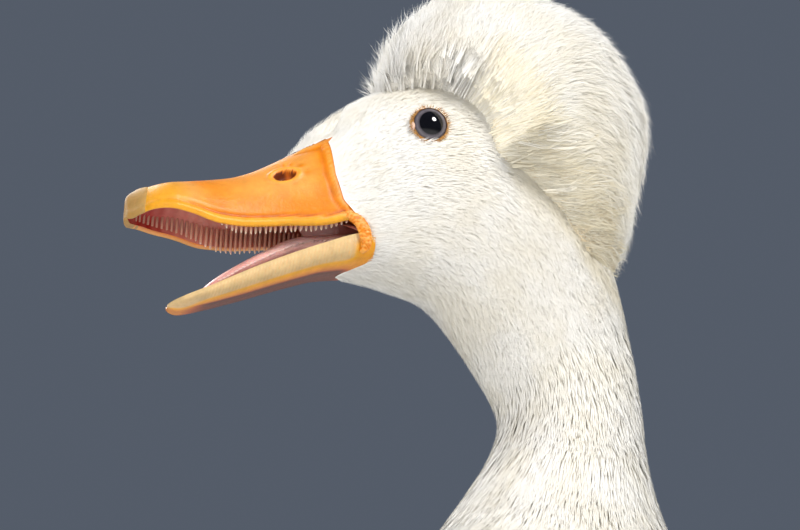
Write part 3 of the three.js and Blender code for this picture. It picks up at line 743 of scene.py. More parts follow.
print("body feathers")
bodyCoat = {"from": 14.0, "to": 23.9, "length": 21, "width": 14}
rowPlaces, rowAngles = [], []
current = bodyCoat["from"]
while current < bodyCoat["to"]:
    stepLength = np.interp(current, [12, 15, 20, 24], [5.0, 6.2, 6.6, 5.2])
    metric = float(bodyFrame(np.array([current]), np.array([90.0]))[0][0])
    around = np.linspace(-180, 180, 721)[:-1]
    ring = bodyPoint(np.full(len(around), current), around)
    girth = np.linalg.norm(np.roll(ring, -1, axis=0) - ring, axis=1)
    total = np.cumsum(girth)
    step = np.interp(current, [12, 16, 24], [6.4, 8.4, 7.0])
    number = int(total[-1] / step)
    # every second row is set half a feather over
    marks = (np.arange(number) + 0.5 * (len(rowPlaces) % 2)) * total[-1] / number
    rowAngles.append(np.interp(marks, total, around))
    rowPlaces.append(np.full(number, current))
    current += stepLength / metric
place = np.concatenate(rowPlaces) + rng.normal(0, 0.035, sum(map(len, rowPlaces)))
angle = np.concatenate(rowAngles) + rng.normal(0, 0.9, len(place))
grow = np.interp(place, [13.5, 15.5, 18, 24], [0.62, 0.8, 1.0, 0.95])
contourFeathers(
    "body_coat", place, angle, bodyCoat["length"] * grow * rng.uniform(0.9, 1.1, len(place)),
    bodyCoat["width"] * grow * rng.uniform(0.9, 1.1, len(place)), rng.uniform(0.1, 0.9, len(place)),
    0.84 + rng.normal(0, 0.03, len(place)), split=2,
)
print("body feathers", len(place))

# Crest: a round puff on the crown, tucked in along the crease and swept back and down behind
crest = {
    "x": 26.5, "z": 8.0, "radius": 39.4, "lateral": 35.0,
    "strands": 82000, "plumes": 700, "wisps": 9000, "tufts": 1700, "tuftBarbs": 12, "tuftHalf": 2.3,
    "tried": 1.6,  # paths tried for each one that is over the crease
}
crestCentre = np.array([crest["x"], 0, crest["z"]])
crestRadii = np.array([crest["radius"], crest["lateral"], crest["radius"]])


# bearing in side view from the middle of the puff, and the puff's radius there
crestOutline = np.array([
    [-180, 38.6], [-120, 46], [-62, 56], [-56, 54], [-47, 50], [-38, 46.8], [-30, 44], [-22, 42.2],
    [0, 40.7], [16, 39.3], [29, 39.2], [59, 38.0], [90, 39.2], [127, 40.3], [141, 39.5], [160, 39.0],
    [180, 38.6],
])


def overCrease(point):
    # distance from the crease in side view, more than 0 on the crest's side
    best = np.full(point.shape[:-1], 99.0)
    for a, b in zip(creaseLine[:-1], creaseLine[1:]):
        runX, runZ = b - a
        offX, offZ = point[..., 0] - a[0], point[..., 2] - a[1]
        t = np.clip((offX * runX + offZ * runZ) / (runX**2 + runZ**2), 0, 1)
        best = np.minimum(best, np.hypot(offX - t * runX, offZ - t * runZ))
    return np.where(point[..., 2] > np.interp(point[..., 0], creaseLine[:, 0], creaseLine[:, 1]), best, -best)


def puffPoint(direction, scale):
    # a point over the puff in a direction from its middle, with soft lumps where tufts bunch
    dx, dy, dz = direction[..., 0], direction[..., 1], direction[..., 2]
    radius = 0.975 * np.interp(np.degrees(np.arctan2(dz, dx)), crestOutline[:, 0], crestOutline[:, 1])
    lump = 1 + 0.016 * np.sin(5.2 * dx + 1.3 + 2.2 * dy) * np.sin(6.1 * dz - 2 * dx)
    lump += 0.013 * np.sin(11 * dy + 3.2 * dz) * np.sin(9 * dx + 4 * dz + 0.7)
    lump += 0.008 * np.sin(25 * dy + 8 * dz) * np.sin(21 * dx + 12 * dz)
    scale = np.asarray(scale) * lump
    point = crestCentre + direction * np.stack(
        [radius, np.full_like(radius, crest["lateral"]), radius], axis=-1,
    ) * scale[..., None]
    # tucked in towards the head along the crease, and inside the head below it
    over = overCrease(point)
    out = np.abs(point[..., 1])
    head = np.interp(point[..., 0], [-14, 0, 10, 18, 48, 58], [7, 9.5, 13.5, 17.4, 17, 11])
    tucked = np.minimum(out, head + np.clip(out - head, 0, None) * smooth(-1, 12, over) ** 0.6)
    inside = 1 - smooth(-5, 0, over)
    point[..., 1] = np.sign(point[..., 1]) * (
        tucked * (1 - inside) + np.minimum(out, np.interp(point[..., 0], [-14, 0, 12], [2.5, 5, 9])) * inside
    )
    return point


def plumeFlow(direction, point):
    # feathers spread from the crown, lie back over the puff and hang down behind it; in front they stand out
    away = unit((point - np.array([8.0, 0, -3.0])) * np.array([1, 0.35, 1]))
    droop = smooth(26, 60, point[..., 0])[..., None]
    way = away + np.array([0.14, 0, 0.05]) + droop * np.array([0, 0, -0.9])
    normal = unit(direction / crestRadii)
    tangent = way - normal * np.sum(way * normal, axis=-1)[..., None]
    front = smooth(-0.25, -0.8, direction[..., 0])[..., None]
    return unit(tangent + normal * (0.06 + 0.5 * front)), normal


def spreadDirections(count):
    golden = np.pi * (3 - np.sqrt(5))
    index = np.arange(count)
    height = 1 - 2 * (index + 0.5) / count
    ring = np.sqrt(1 - height**2)
    even = np.stack([ring * np.cos(index * golden), ring * np.sin(index * golden), height], axis=-1)
    return unit(even + rng.normal(0, 0.02, even.shape))


# Coats of the crest: length in mm, share of the puff's radius at root and tip, points in a path, how much
# it wavers and spreads, how freely it stands out in front, and how far over the crease it starts
crestCoats = {
    "plumes": {
        "length": 18, "root": 0.955, "tip": 0.99, "stations": 7,
        "waver": 0.12, "spread": 0.006, "free": 0.1, "above": 2.5,
    },
    "barbs": {
        "length": 13, "root": 0.962, "tip": 1.014, "stations": 4,
        "waver": 0.12, "spread": 0.006, "free": 0.25, "above": -3.8,
    },
    "tufts": {
        "length": 14, "root": 0.968, "tip": 1.03, "stations": 4,
        "waver": 0.2, "spread": 0.012, "free": 0.4, "above": -3.8,
    },
    "wisps": {
        "length": 10, "root": 0.975, "tip": 1.045, "stations": 4,
        "waver": 0.3, "spread": 0.016, "free": 0.7, "above": -3.8,
    },
}


def crestPaths(coat, count):
    # curved paths that follow the lie of the puff from a root inside it to a tip at its face
    direction = spreadDirections(count)
    point = puffPoint(direction, coat["root"] + 0 * direction[:, 0])
    keep = overCrease(point) > coat["above"]
    direction, point = direction[keep], point[keep]
    rooted = direction.copy()
    reach = coat["length"] * rng.uniform(0.7, 1.2, len(direction))
    drift = rng.normal(0, coat["waver"], (len(direction), 3))
    # locks: neighbours share a lean
    lock = np.sin(
        direction[:, 0] * 13 + 5 * direction[:, 2]
    ) * np.sin(direction[:, 1] * 17 - 6 * direction[:, 2])
    drift[:, 1] += 0.2 * lock
    paths, normals = [point], []
    # the path is stepped over the round form, and each step is then drawn onto the puff
    plain = crestCentre + direction * crestRadii
    for k in range(1, coat["stations"]):
        flow, normal = plumeFlow(direction, plain)
        normals.append(normal)
        step = unit(flow + drift) * (reach / (coat["stations"] - 1))[:, None]
        ahead = point + step
        direction = unit((plain + step - crestCentre) / crestRadii)
        plain = crestCentre + direction * crestRadii
        share = k / (coat["stations"] - 1)
        scale = coat["root"] + (coat["tip"] - coat["root"]) * share
        shell = puffPoint(direction, scale + rng.normal(0, coat["spread"], len(direction)) * share)
        free = coat["free"] * smooth(-0.3, -0.8, direction[:, 0])[:, None]
        point = shell * (1 - free) + ahead * free
        paths.append(point)
    normals.append(plumeFlow(direction, plain)[1])
    return np.stack(paths, axis=1), np.stack(normals, axis=1), rooted


# the crest's tone: whiter towards the top and front and creamier below, painted light; cream along the crease
# behind the face, painted shade; and a gentle uneven tone
def crestTone(direction, point):
    over = overCrease(point)
    tone = 0.76 + 0.22 * smooth(-0.5, 0.7, direction[:, 2] - 0.5 * direction[:, 0])
    # painted shade: cream in the crease
    tone -= 0.42 * bell(over, 0, 4.0) * smooth(8, 15, point[:, 0])
    tone += 0.07 * np.sin(direction[:, 0] * 7 + 4 * direction[:, 2]) * np.sin(direction[:, 1] * 5 + 3)
    return tone


def crestUv(direction):
    return np.stack([
        0.02 + 0.96 * (0.2 + 0.09 * direction[:, 0]), 0.5 + 0.16 * direction[:, 1] + 0.06 * direction[:, 2],
    ], axis=-1)


print("crest")
# soft down under the plumes, so that no light passes through the puff
deselectAll()
bpy.ops.mesh.primitive_uv_sphere_add(segments=160, ring_count=110, radius=1)
puffDown = bpy.context.object
puffDown.name = "crest_down"
ways = unit(np.array([v.co[:] for v in puffDown.data.vertices]))
downPoints = puffPoint(ways, np.full(len(ways), 0.965))
puffDown.data.vertices.foreach_set("co", toFrame(downPoints).ravel())
bpy.ops.object.shade_smooth()
puffDown.data.materials.append(bodyFeather)
setTone(puffDown.data, crestTone(ways, downPoints))
setUv(puffDown.data, "OFBake", crestUv(ways))
finishPiece(puffDown, ("crest",))
# plumes: broad soft vanes with ragged ends
paths, normals, way = crestPaths(crestCoats["plumes"], int(crest["plumes"] * crest["tried"]))
aim = unit(np.gradient(paths, axis=1))
sides = unit(np.cross(aim, normals))
plume = {"halves": [1.2, 2.2, 2.9, 3.1, 2.8, 2.0, 0.5], "across": [-1.0, -0.5, 0.0, 0.5, 1.0], "bow": 0.16}
rows, columns = len(plume["halves"]), len(plume["across"])
halves = np.array(plume["halves"])[None, :, None] * rng.uniform(0.8, 1.15, (len(paths), 1, 1))
across = np.array(plume["across"])
vane = paths[:, :, None] + sides[:, :, None] * (halves[..., None] * across[None, None, :, None])
vane -= normals[:, :, None] * (plume["bow"] * halves[..., None] * across[None, None, :, None] ** 2)
# darker at the root and lighter at the tip: painted shade deep in the puff
tones = (crestTone(way, paths[:, 0])[:, None] + np.linspace(-0.08, 0.08, rows).repeat(columns)[None]).ravel()
shade = np.broadcast_to(unit(normals + rng.normal(0, 0.06, (len(paths), 1, 3)))[:, :, None], vane.shape)
coatPiece(
    "crest_plumes", vane.reshape(-1, 3), vaneFaces(len(paths), rows, columns), shade.reshape(-1, 3), tones,
    vaneUnwrap(crestUv(way), rows, columns), bodyFeather,
)
# fine barbs that flow over the puff, in three pieces
for part in range(3):
    paths, normals, way = crestPaths(
        crestCoats["barbs"], int(crest["strands"] / 3 * crest["tried"] * density),
    )
    sides = bladeSides(paths, normals)
    roll = rng.normal(0, 0.25, (len(paths), 1, 1))
    sides = unit(sides + normals[:, :-1] * roll)
    shade = unit(normals[:, 2] + rng.normal(0, 0.16, (len(paths), 3)))
    data = blades(
        paths, sides, shade, rng.uniform(0.2, 0.4, len(paths)),
        crestTone(way, paths[:, 0]) + rng.normal(0, 0.05, len(paths)), crestUv(way),
    )
    coatPiece(f"crest_barbs_{part + 1}", *data, bodyFeather)
# pointed tufts of fine barbs that draw together at the tip
paths, normals, way = crestPaths(crestCoats["tufts"], crest["tufts"])
sides = unit(np.cross(np.gradient(paths, axis=1), normals))
apart = rng.uniform(-1, 1, (len(paths), crest["tuftBarbs"], 1, 1))
drawn = np.array([1.0, 0.92, 0.66, 0.2])[None, None, :, None]
each = (
    paths[:, None] + sides[:, None] * apart * drawn * crest["tuftHalf"] - normals[:, None] * (0.35 * apart**2)
)
each = each + rng.normal(0, 0.12, each.shape)
each[:, :, -1] += (paths[:, -1] - paths[:, -2])[:, None] * rng.uniform(
    -0.35, 0.25, (len(paths), crest["tuftBarbs"], 1),
)
repeated = np.repeat(normals, crest["tuftBarbs"], axis=0)
each = each.reshape(-1, 4, 3)
data = blades(
    each, bladeSides(each, repeated), unit(repeated[:, 1] + rng.normal(0, 0.1, (len(each), 3))),
    rng.uniform(0.25, 0.42, len(each)), np.repeat(crestTone(way, paths[:, 0]) + 0.04, crest["tuftBarbs"]),
    np.repeat(crestUv(way), crest["tuftBarbs"], axis=0),
)
coatPiece("crest_tufts", *data, bodyFeather)
# wisps that stand a little off the puff
paths, normals, way = crestPaths(crestCoats["wisps"], int(crest["wisps"] * crest["tried"]))
data = blades(
    paths, bladeSides(paths, normals), unit(normals[:, 1] + rng.normal(0, 0.15, (len(paths), 3))),
    rng.uniform(0.12, 0.24, len(paths)),
    crestTone(way, paths[:, 0]) + 0.08, crestUv(way),
)
coatPiece("crest_wisps", *data, bodyFeather)

# Bill. Horn under thin orange skin: satin, a little translucent
# pale is a painted highlight along the culmen, and dark is painted shade in the nostril
billColours = {
    "face": "#ef8b08", "pale": "#f9ab50", "lip": "#f2a906", "wrinkle": "#d56c10", "dark": "#5a1c0e",
}


def fleshSettings(rough, scatter):
    # light goes about 1.5 mm into flesh, the red furthest
    return {
        "Roughness": rough, "Subsurface Weight": scatter, "Subsurface Radius": (1.0, 0.35, 0.15),
        "Subsurface Scale": 0.0015,
    }


def skinMaterial(name, stops, rough=0.42, wrinkles=0.35, wrinkleScale=700.0, scatter=0.12):
    material, tree, shader = newMaterial(name, fleshSettings(rough, scatter))
    tone = addNode(tree, "ShaderNodeAttribute", {"attribute_name": "tone"}).outputs["Fac"]
    base = ramp(tree, tone, stops)
    place = objectPlace(tree)
    # cloudy colour about 4 mm across, under fine wrinkles of the skin
    clouds = addNode(
        tree, "ShaderNodeTexNoise", {"Scale": 260.0, "Detail": 5.0, "Roughness": 0.65}, Vector=place,
    )
    shade = ramp(tree, clouds.outputs["Fac"], [(0.3, grey(0.62)), (0.65, grey(1.0))])
    tree.links.new(mixed(tree, 0.55, base, shade, "MULTIPLY"), shader.inputs["Base Color"])
    fine = addNode(
        tree, "ShaderNodeTexNoise", {"Scale": wrinkleScale, "Detail": 6.0, "Roughness": 0.7}, Vector=place,
    )
    bump(tree, shader, fine.outputs["Fac"], wrinkles, 0.0005)
    return material


# Bill skin: tone 0 dark, painted shade in the nostril, 0.25 wrinkles, 0.5 face, 0.75 pale, a painted
# highlight along the culmen, 1 golden lip
billSkin = skinMaterial(
    "bill_skin_over_horn",
    [
        (0.0, billColours["dark"]), (1.0, billColours["lip"]), (0.25, billColours["wrinkle"]),
        (0.5, billColours["face"]), (0.75, billColours["pale"]),
    ],
)
# Mouth flesh, moist: tone 0 deep red at the front and in the throat, where the darker tones are also painted
# shade, 0.5 palate, 1 pale gum
mouthFlesh = skinMaterial(
    "mouth_flesh", [(0.0, "#b0221a"), (1.0, "#ecc0a8"), (0.5, "#d98878")], rough=0.25, wrinkles=0.4,
    scatter=0.2,
)
# Lower mandible: tone 0 dark, painted shade on the underside and in the crease below the ridge, 0.25 deep
# orange, 0.5 orange, 0.66 yellow, 0.8 and up tan edge
mandibleSkin = skinMaterial(
    "mandible_skin",
    [
        (0.0, "#3c1007"), (1.0, "#e6c48c"), (0.25, "#c45a0c"), (0.5, "#f59b06"), (0.66, "#fbb21c"),
        (0.8, "#e6bf88"),
    ],
    wrinkles=0.25,
)
# Horn of the nail and the lamellae
nailHorn = skinMaterial(
    "nail_horn", [(0.0, "#a87a3c"), (1.0, "#c9a05c")], rough=0.6, wrinkles=0.18, scatter=0.1,
)
lamellaHorn = skinMaterial(
    "lamella_horn", [(0.0, "#b06c58"), (1.0, "#fbead6"), (0.6, "#dfb096")], rough=0.4, wrinkles=0.1,
    scatter=0.2,
)


def upperBillPoint(x, angle):
    # angle 0 and pi are the rims, a half pi is the culmen
    x, angle = np.broadcast_arrays(x, angle)
    power = 1 - 0.28 * np.clip((x + 60) / 35, 0, 1)
    height = np.clip(np.sin(angle), 0, 1) ** power
    low, top, wide = curveAt(rim, x), curveAt(culmen, x), billWidth(x)
    above = height * (top - low)
    fade = smooth(-80, -66, x)
    behind = 1 - smooth(-22.5, -19.5, x)
    roll = 0.62 * bell(above, 1.3, 1.15) - 0.36 * fade * bell(above, 3.0, 0.45)
    roll += 0.16 * fade * (1 - smooth(-60, -50, x)) * bell(above, 4.6, 0.6)
    roll = roll * behind
    return np.stack([x, -np.cos(angle) * (wide + roll), low + above], axis=-1)


print("bill")
bill = {"stations": 210, "round": 150, "tip": -81.7, "base": -14.0, "wall": 1.9}
share = np.linspace(0, 1, bill["stations"])
billX = bill["tip"] + (bill["base"] - bill["tip"]) * share**1.35
billAngle = np.linspace(0, np.pi, bill["round"])
xx, aa = np.meshgrid(billX, billAngle, indexing="ij")
outer = upperBillPoint(xx, aa)
alongBill = np.gradient(outer, axis=0)
roundBill = np.gradient(outer, axis=1)
billNormal = unit(np.cross(roundBill, alongBill))
billNormal *= np.sign(
    np.sum(billNormal * (outer - np.stack([xx, 0 * xx, curveAt(rim, xx)], axis=-1)), axis=-1, keepdims=True)
)
nostril = {"x": -39.0, "z": -15.4, "slant": math.radians(16), "long": 3.2, "high": 1.7, "deep": 2.3}
offX, offZ = outer[..., 0] - nostril["x"], outer[..., 2] - nostril["z"]
cosine, sine = math.cos(nostril["slant"]), math.sin(nostril["slant"])
onLong = (offX * cosine + offZ * sine) / nostril["long"]
onShort = (-offX * sine + offZ * cosine) / nostril["high"]
hole = np.sqrt(onLong**2 + onShort**2)
sideFace = smooth(2.0, 5.0, np.abs(outer[..., 1]))
push = -nostril["deep"] * (1 - smooth(0.55, 1.0, hole)) * sideFace + 0.5 * bell(hole, 1.32, 0.26) * sideFace
# a thin wrinkled rim where the bill meets the feathers
toFeathers = -coverDepth(outer)
rimBand = bell(toFeathers, 1.0, 0.8) * smooth(2, 4, np.abs(outer[..., 1]))
crinkle = np.sin(outer[..., 2] * 5.2 + 1.5 * np.sin(outer[..., 2] * 1.3)) * np.sin(outer[..., 0] * 3.1)
push += rimBand * (0.22 + 0.16 * crinkle)
push -= 0.22 * bell(toFeathers, 2.7, 0.6) * smooth(2, 4, np.abs(outer[..., 1]))
ray = np.arctan2(offZ, offX)
wrinkleZone = bell(hole, 1.95, 0.45) * smooth(-0.6, 0.6, ray) * (1 - smooth(1.6, 2.4, ray))
push += 0.16 * wrinkleZone * np.sin(ray * 13)
outer = outer + billNormal * push[..., None]
aboveRim = outer[..., 2] - curveAt(rim, xx)
billTone = np.full(xx.shape, 0.5)
# a painted highlight along the middle of the culmen
billTone += 0.2 * smooth(-66, -44, xx) * smooth(6, 12, aboveRim) * (1 - smooth(-34, -27, xx))
billTone += 0.42 * (1 - smooth(-72, -56, xx)) * (1 - smooth(9, 12, aboveRim) * smooth(-70, -60, xx))
lipShare = 1 - smooth(2.3, 3.0, aboveRim)
billTone = np.maximum(billTone, 0.95 * lipShare)
# a dark line in the groove above the lip: painted shade
billTone -= 0.3 * bell(aboveRim, 3.0, 0.4) * smooth(-74, -62, xx) * (1 - smooth(-24, -21, xx))
# the rim where the bill meets the feathers is paler skin, and palest on its raised crinkles, painted light;
# the groove behind it is darker, painted shade
billTone += 0.14 * rimBand * (1 + crinkle) - 0.16 * bell(toFeathers, 2.7, 0.7)
billTone -= 0.22 * wrinkleZone * (0.5 + 0.5 * np.sin(ray * 13))
billTone += 0.22 * bell(hole, 1.32, 0.2) * sideFace
# the nostril painted dark, painted shade in the opening, with a lighter septum
billTone = np.where(
    (hole < 0.97) & (sideFace > 0.5), 0.03 + 0.25 * bell(onLong, 0.35, 0.2), np.clip(billTone, 0.1, 1),
)
# inner arch, from rim to rim, with palate folds
inset = bill["wall"]
innerWide = np.maximum(billWidth(xx) - inset * 0.9, 0.15)
low, top = curveAt(rim, xx), curveAt(culmen, xx)
roof = np.maximum(top - low - inset * 1.3, 0.4)
arch = np.sin(aa) ** 0.8
folds = 0.3 * np.sin(xx * 1.9) * np.sin(aa) ** 2 * smooth(-74, -60, xx)
inner = np.stack([xx + 0.4, -np.cos(aa) * innerWide, low + 0.5 + roof * 0.8 * arch + folds], axis=-1)
count = bill["round"]
rows = bill["stations"]
shellPoints = np.concatenate([outer.reshape(-1, 3), inner[:, 0], inner[:, -1], inner[0]])
first = rows * count
shellFaces = gridFaces(rows, count) + rimFaces(rows, count, first)
nail = {"x": -81.6, "long": 6.0, "wide": 11.5, "proud": 0.4}
nailReach = np.hypot((shellPoints[:, 0] - nail["x"]) / nail["long"], shellPoints[:, 1] / nail["wide"])
openShell = [f for f in shellFaces if nailReach[list(f)].max() > 0.9]
upperBill = meshPiece("bill_upper_skin", toFrame(shellPoints), openShell, billSkin, ("bill_upper",))
# the rim strip between the outer and inner shell is darker orange: painted shade
setTone(upperBill.data, np.concatenate([billTone.ravel(), np.full(len(shellPoints) - first, 0.36)]))
palateAll = inner.reshape(-1, 3)
palate = meshPiece("palate_flesh", toFrame(palateAll), gridFaces(rows, count), mouthFlesh)
# deep red at the front, paler behind, and darker towards the back of the mouth: painted shade
palateTone = (
    0.05 + 0.5 * smooth(-76, -60, xx) + 0.05 * np.sin(xx * 1.9) - 0.15 * smooth(-34, -18, xx)
).ravel()
setTone(palate.data, palateTone)

# nail: a cap of horn over the tip
lift = nail["proud"] * np.sqrt(np.clip(1 - nailReach**2, 0, 1)) - 0.35 * smooth(0.9, 1.1, nailReach)
lift = lift[:first].reshape(xx.shape)
lift = lift * smooth(-1, 8, np.arange(len(xx)))[:, None]
nailShape = shellPoints.copy()
nailShape[:first] += (billNormal * lift[..., None]).reshape(-1, 3)
nailFaces = [f for f in shellFaces if nailReach[list(f)].max() < 1.12]
used = sorted({i for f in nailFaces for i in f})
place = {old: new for new, old in enumerate(used)}
nailPiece = meshPiece(
    "bill_nail_horn", toFrame(nailShape[used]), [[place[i] for i in f] for f in nailFaces],
    nailHorn, ("bill_nail",),
)
setTone(nailPiece.data, (0.85 - 0.4 * smooth(-76, -82, shellPoints[:, 0]))[used])

# lamellae: horn plates along both rims
lamellae = {"from": -77.5, "to": -21.5, "pitch": 1.38, "thick": 0.72}
platePoints, plateFaces, plateTone = [], [], []
for station in np.arange(lamellae["from"], lamellae["to"], lamellae["pitch"]):
    station = float(station) + float(rng.normal(0, 0.05))
    wide, low, top = (
        float(v)
        for v in (billWidth(np.array(station)), curveAt(rim, station), curveAt(culmen, station))
    )
    deep = float(
        np.interp(station, [-78, -66, -59, -54, -44, -30, -21], [-0.9, -0.6, -0.2, 1.5, 1.5, 1.1, 0.2])
    )
    tall = float(np.interp(station, [-78, -66, -50, -21], [2.6, 4.2, 5.4, 4.0]))
    low += float(np.interp(station, [-60, -53], [1.1, 0]))
    for side in (-1, 1):
        reach = deep * rng.uniform(0.85, 1.15)
        lean = rng.normal(0, 0.12)
        profile = [
            (wide - 1.0, low + 0.8), (wide - 1.25, low - 0.3 * max(reach, 0)), (wide - 1.8, low - reach),
            (wide - 2.35, low - 0.2 * max(reach, 0) + 0.3), (wide - 3.5, low + tall),
            (wide - 2.4, low + tall),
        ]
        base = len(platePoints)
        n = len(profile)
        for shift in (-0.5, 0.5):
            platePoints += [
                (
                    station + (shift * lamellae["thick"]) * (0.5 if k == 2 else 1) + lean * (k == 2),
                    side * y, z,
                )
                for k, (y, z) in enumerate(profile)
            ]
            pale = float(np.interp(station, [-74, -60], [0.5, 1]))
            # palest along the free edge, a painted highlight, and dark at the inner ends up under the bill,
            # painted shade
            plateTone += [0.5 * pale, 0.62 * pale, 1.0 * pale, 0.62 * pale, 0.25, 0.25]
        front, back = [base + i for i in range(n)], [base + n + i for i in range(n)]
        plateFaces += [front[::-1], back]
        plateFaces += [(front[i], front[(i + 1) % n], back[(i + 1) % n], back[i]) for i in range(n)]
plates = meshPiece("bill_lamellae", toFrame(platePoints), plateFaces, lamellaHorn, smoothed=False)
setTone(plates.data, plateTone)
selectOnly(plates)
softened = plates.modifiers.new("softened", "BEVEL")
softened.width = 0.0002
softened.segments = 2
bpy.ops.object.modifier_apply(modifier="softened")
bpy.ops.object.mode_set(mode="EDIT")
bpy.ops.mesh.select_all(action="SELECT")
bpy.ops.mesh.normals_make_consistent(inside=False)
bpy.ops.object.mode_set(mode="OBJECT")
bpy.ops.object.shade_smooth()

# Lower mandible: a shallow trough with a ribbed upper edge
lowerTop = np.array([
    [-69.6, -52.5], [-67, -51.7], [-61.5, -49.6], [-54, -45.9], [-46.5, -42.2], [-38.4, -38.6],
    [-28.7, -34.8], [-19.4, -31.8], [-12, -30.2],
])
lowerKeel = np.array([
    [-69.6, -53.2], [-67, -53.8], [-61.5, -52.7], [-51, -49.5], [-36, -44.1], [-24, -40.1], [-12, -37.3],
])
lowerBreadth = np.array([[-62, 9.6], [-50, 10.2], [-38, 10.8], [-26, 12.2], [-20, 12.9], [-14, 12.0]])


def lowerWidth(x):
    blunt = 9.6 * np.sqrt(np.clip(1 - ((-60.6 - x) / 9.04) ** 2, 0.0004, None))
    return np.where(x < -60.6, blunt, curveAt(lowerBreadth, np.maximum(x, -60.6)))


lower = {"stations": 240, "round": 90, "tip": -69.58, "base": -14.0, "wall": 1.7}
lowerX = lower["tip"] + (lower["base"] - lower["tip"]) * np.linspace(0, 1, lower["stations"]) ** 1.25
lx, la = np.meshgrid(lowerX, np.linspace(0, np.pi, lower["round"]), indexing="ij")
low, top, wide = curveAt(lowerKeel, lx), curveAt(lowerTop, lx), lowerWidth(lx)
sunk = np.sin(la) ** 0.6
# share of the way down the side, from the edge at 0 to the keel at 1
downSide = (0.28 * wide * (1 - np.cos(la)) + (top - low) * sunk) / (0.28 * wide + (top - low))
onBand = smooth(0.1, 0.15, downSide) * (
    1 - smooth(0.54, 0.6, downSide)
) * smooth(-62, -57, lx) * (1 - smooth(-22, -18, lx))
ribs = np.abs(np.sin(np.pi * (lx + 0.8 * downSide) / 0.96)) ** 0.7
bandDip = -0.3 * bell(downSide, 0.71, 0.08) + 0.2 * smooth(0.04, 0.12, downSide) * (
    1 - smooth(0.53, 0.62, downSide)
)
crease = 0.35 * bell(downSide, 0.86, 0.03) * smooth(-64, -56, lx)
flare = 1.0 * smooth(-30, -19, lx)
lowerOuter = np.stack([
    lx, -np.cos(la) * (wide + 0.24 * ribs * onBand - bandDip - crease + 0.5 * flare),
    top - (top - low + flare) * sunk,
], axis=-1)
floorDepth = np.maximum((top - low) * 0.55, 0.2)
gumRibs = 0.2 * np.cos(2 * np.pi * lx / 1.3) * bell(np.sin(la), 0, 0.3)
lowerInner = np.stack([
    lx + 0.3, -np.cos(la) * np.maximum(wide - lower["wall"], 0.1),
    top - 0.1 - floorDepth * np.sin(la) ** 0.5 + gumRibs,
], axis=-1)
lowerBill = meshPiece(
    "bill_lower_skin", toFrame(lowerOuter.reshape(-1, 3)), gridFaces(*lx.shape), mandibleSkin,
    ("bill_lower",),
)
# tan edge and orange ridge, then painted shade: darkest in the crease under the ridge and dark on the
# underside
lowerTone = np.interp(
    downSide, [0, 0.1, 0.54, 0.61, 0.72, 0.81, 0.86, 1.0], [1.0, 0.97, 0.95, 0.7, 0.57, 0.36, 0.03, 0.06],
)
lowerTone -= 0.24 * onBand * (1 - ribs)
# the pale tan tip, darker underneath: painted shade
tipPale = 1 - smooth(-67, -58, lx)
lowerTone = lowerTone * (1 - tipPale) + np.interp(downSide, [0, 0.7, 1], [0.97, 0.88, 0.4]) * tipPale
# near the gape, also darker lower down: painted shade
nearGape = smooth(-22.5, -17.5, lx)
lowerTone = lowerTone * (1 - nearGape) + np.interp(downSide, [0, 0.25, 1], [0.85, 0.62, 0.46]) * nearGape
setTone(lowerBill.data, np.clip(lowerTone, 0, 1).ravel())
innerSize = lx.size
floorPoints = np.concatenate([lowerInner.reshape(-1, 3), lowerOuter[:, 0], lowerOuter[:, -1], lowerOuter[0]])
floorFaces = gridFaces(*lx.shape) + rimFaces(*lx.shape, innerSize)
lowerFloor = meshPiece("bill_lower_gum", toFrame(floorPoints), floorFaces, mouthFlesh)
# pale gum at the edges, darker down the middle under the tongue and towards the back: painted shade
setTone(lowerFloor.data, np.concatenate([
    (0.95 - 0.5 * smooth(0.25, 0.7, np.sin(la)) - 0.35 * smooth(-32, -18, lx)).ravel(),
    np.full(len(floorPoints) - innerSize, 1.0),
]))

# Tongue: fleshy, with a row of soft papillae along each edge
tongueStations = [
    [-59, 0, -47.4, 2.2, 0.9], [-56, 0, -45.6, 4.4, 1.6], [-50, 0, -42, 5.6, 2.1], [-42, 0, -37.6, 6, 2.6],
    [-34, 0, -34, 6.4, 3.2], [-25, 0, -32.8, 7, 3.4], [-17.5, 0, -32, 7.4, 3.4],
]
tongueMaterial = skinMaterial(
    "tongue_flesh", [(0.0, "#dc8c82"), (1.0, "#f8cec4")], rough=0.42, wrinkles=0.6, wrinkleScale=1200.0,
    scatter=0.25,
)
tongue = {"rings": 70, "sides": 40, "papillaStep": 1.05, "papillaSides": 8, "papillaHalf": 0.42}
tongueRings = tubeRings(finerStations(tongueStations, tongue["rings"]), tongue["sides"])
ringTurn = np.linspace(0, 2 * np.pi, tongue["sides"], endpoint=False)
tongueRings[..., 2] -= 0.55 * bell(tongueRings[..., 1], 0, 1.1) * (np.sin(ringTurn) > 0)
tonguePoints = np.vstack(
    [tongueRings.reshape(-1, 3), tongueRings[0].mean(axis=0)[None], tongueRings[-1].mean(axis=0)[None]]
)
tongueFaces = gridFaces(tongue["rings"], tongue["sides"], wrap=True)
ends = tongue["rings"] * tongue["sides"]
tongueFaces += [face[::-1] for face in fanFaces(0, tongue["sides"], ends)]
tongueFaces += fanFaces(ends - tongue["sides"], tongue["sides"], ends + 1)
tonguePiece = meshPiece(
    "tongue_flesh", toFrame(tonguePoints), tongueFaces, tongueMaterial, ("tongue",),
)
setTone(tonguePiece.data, 0.5 + 0.4 * np.clip((tonguePoints[:, 2] + 40) / 12, -0.5, 1))
turnedOut(tonguePiece)
papillaPoints, papillaFaces = [], []
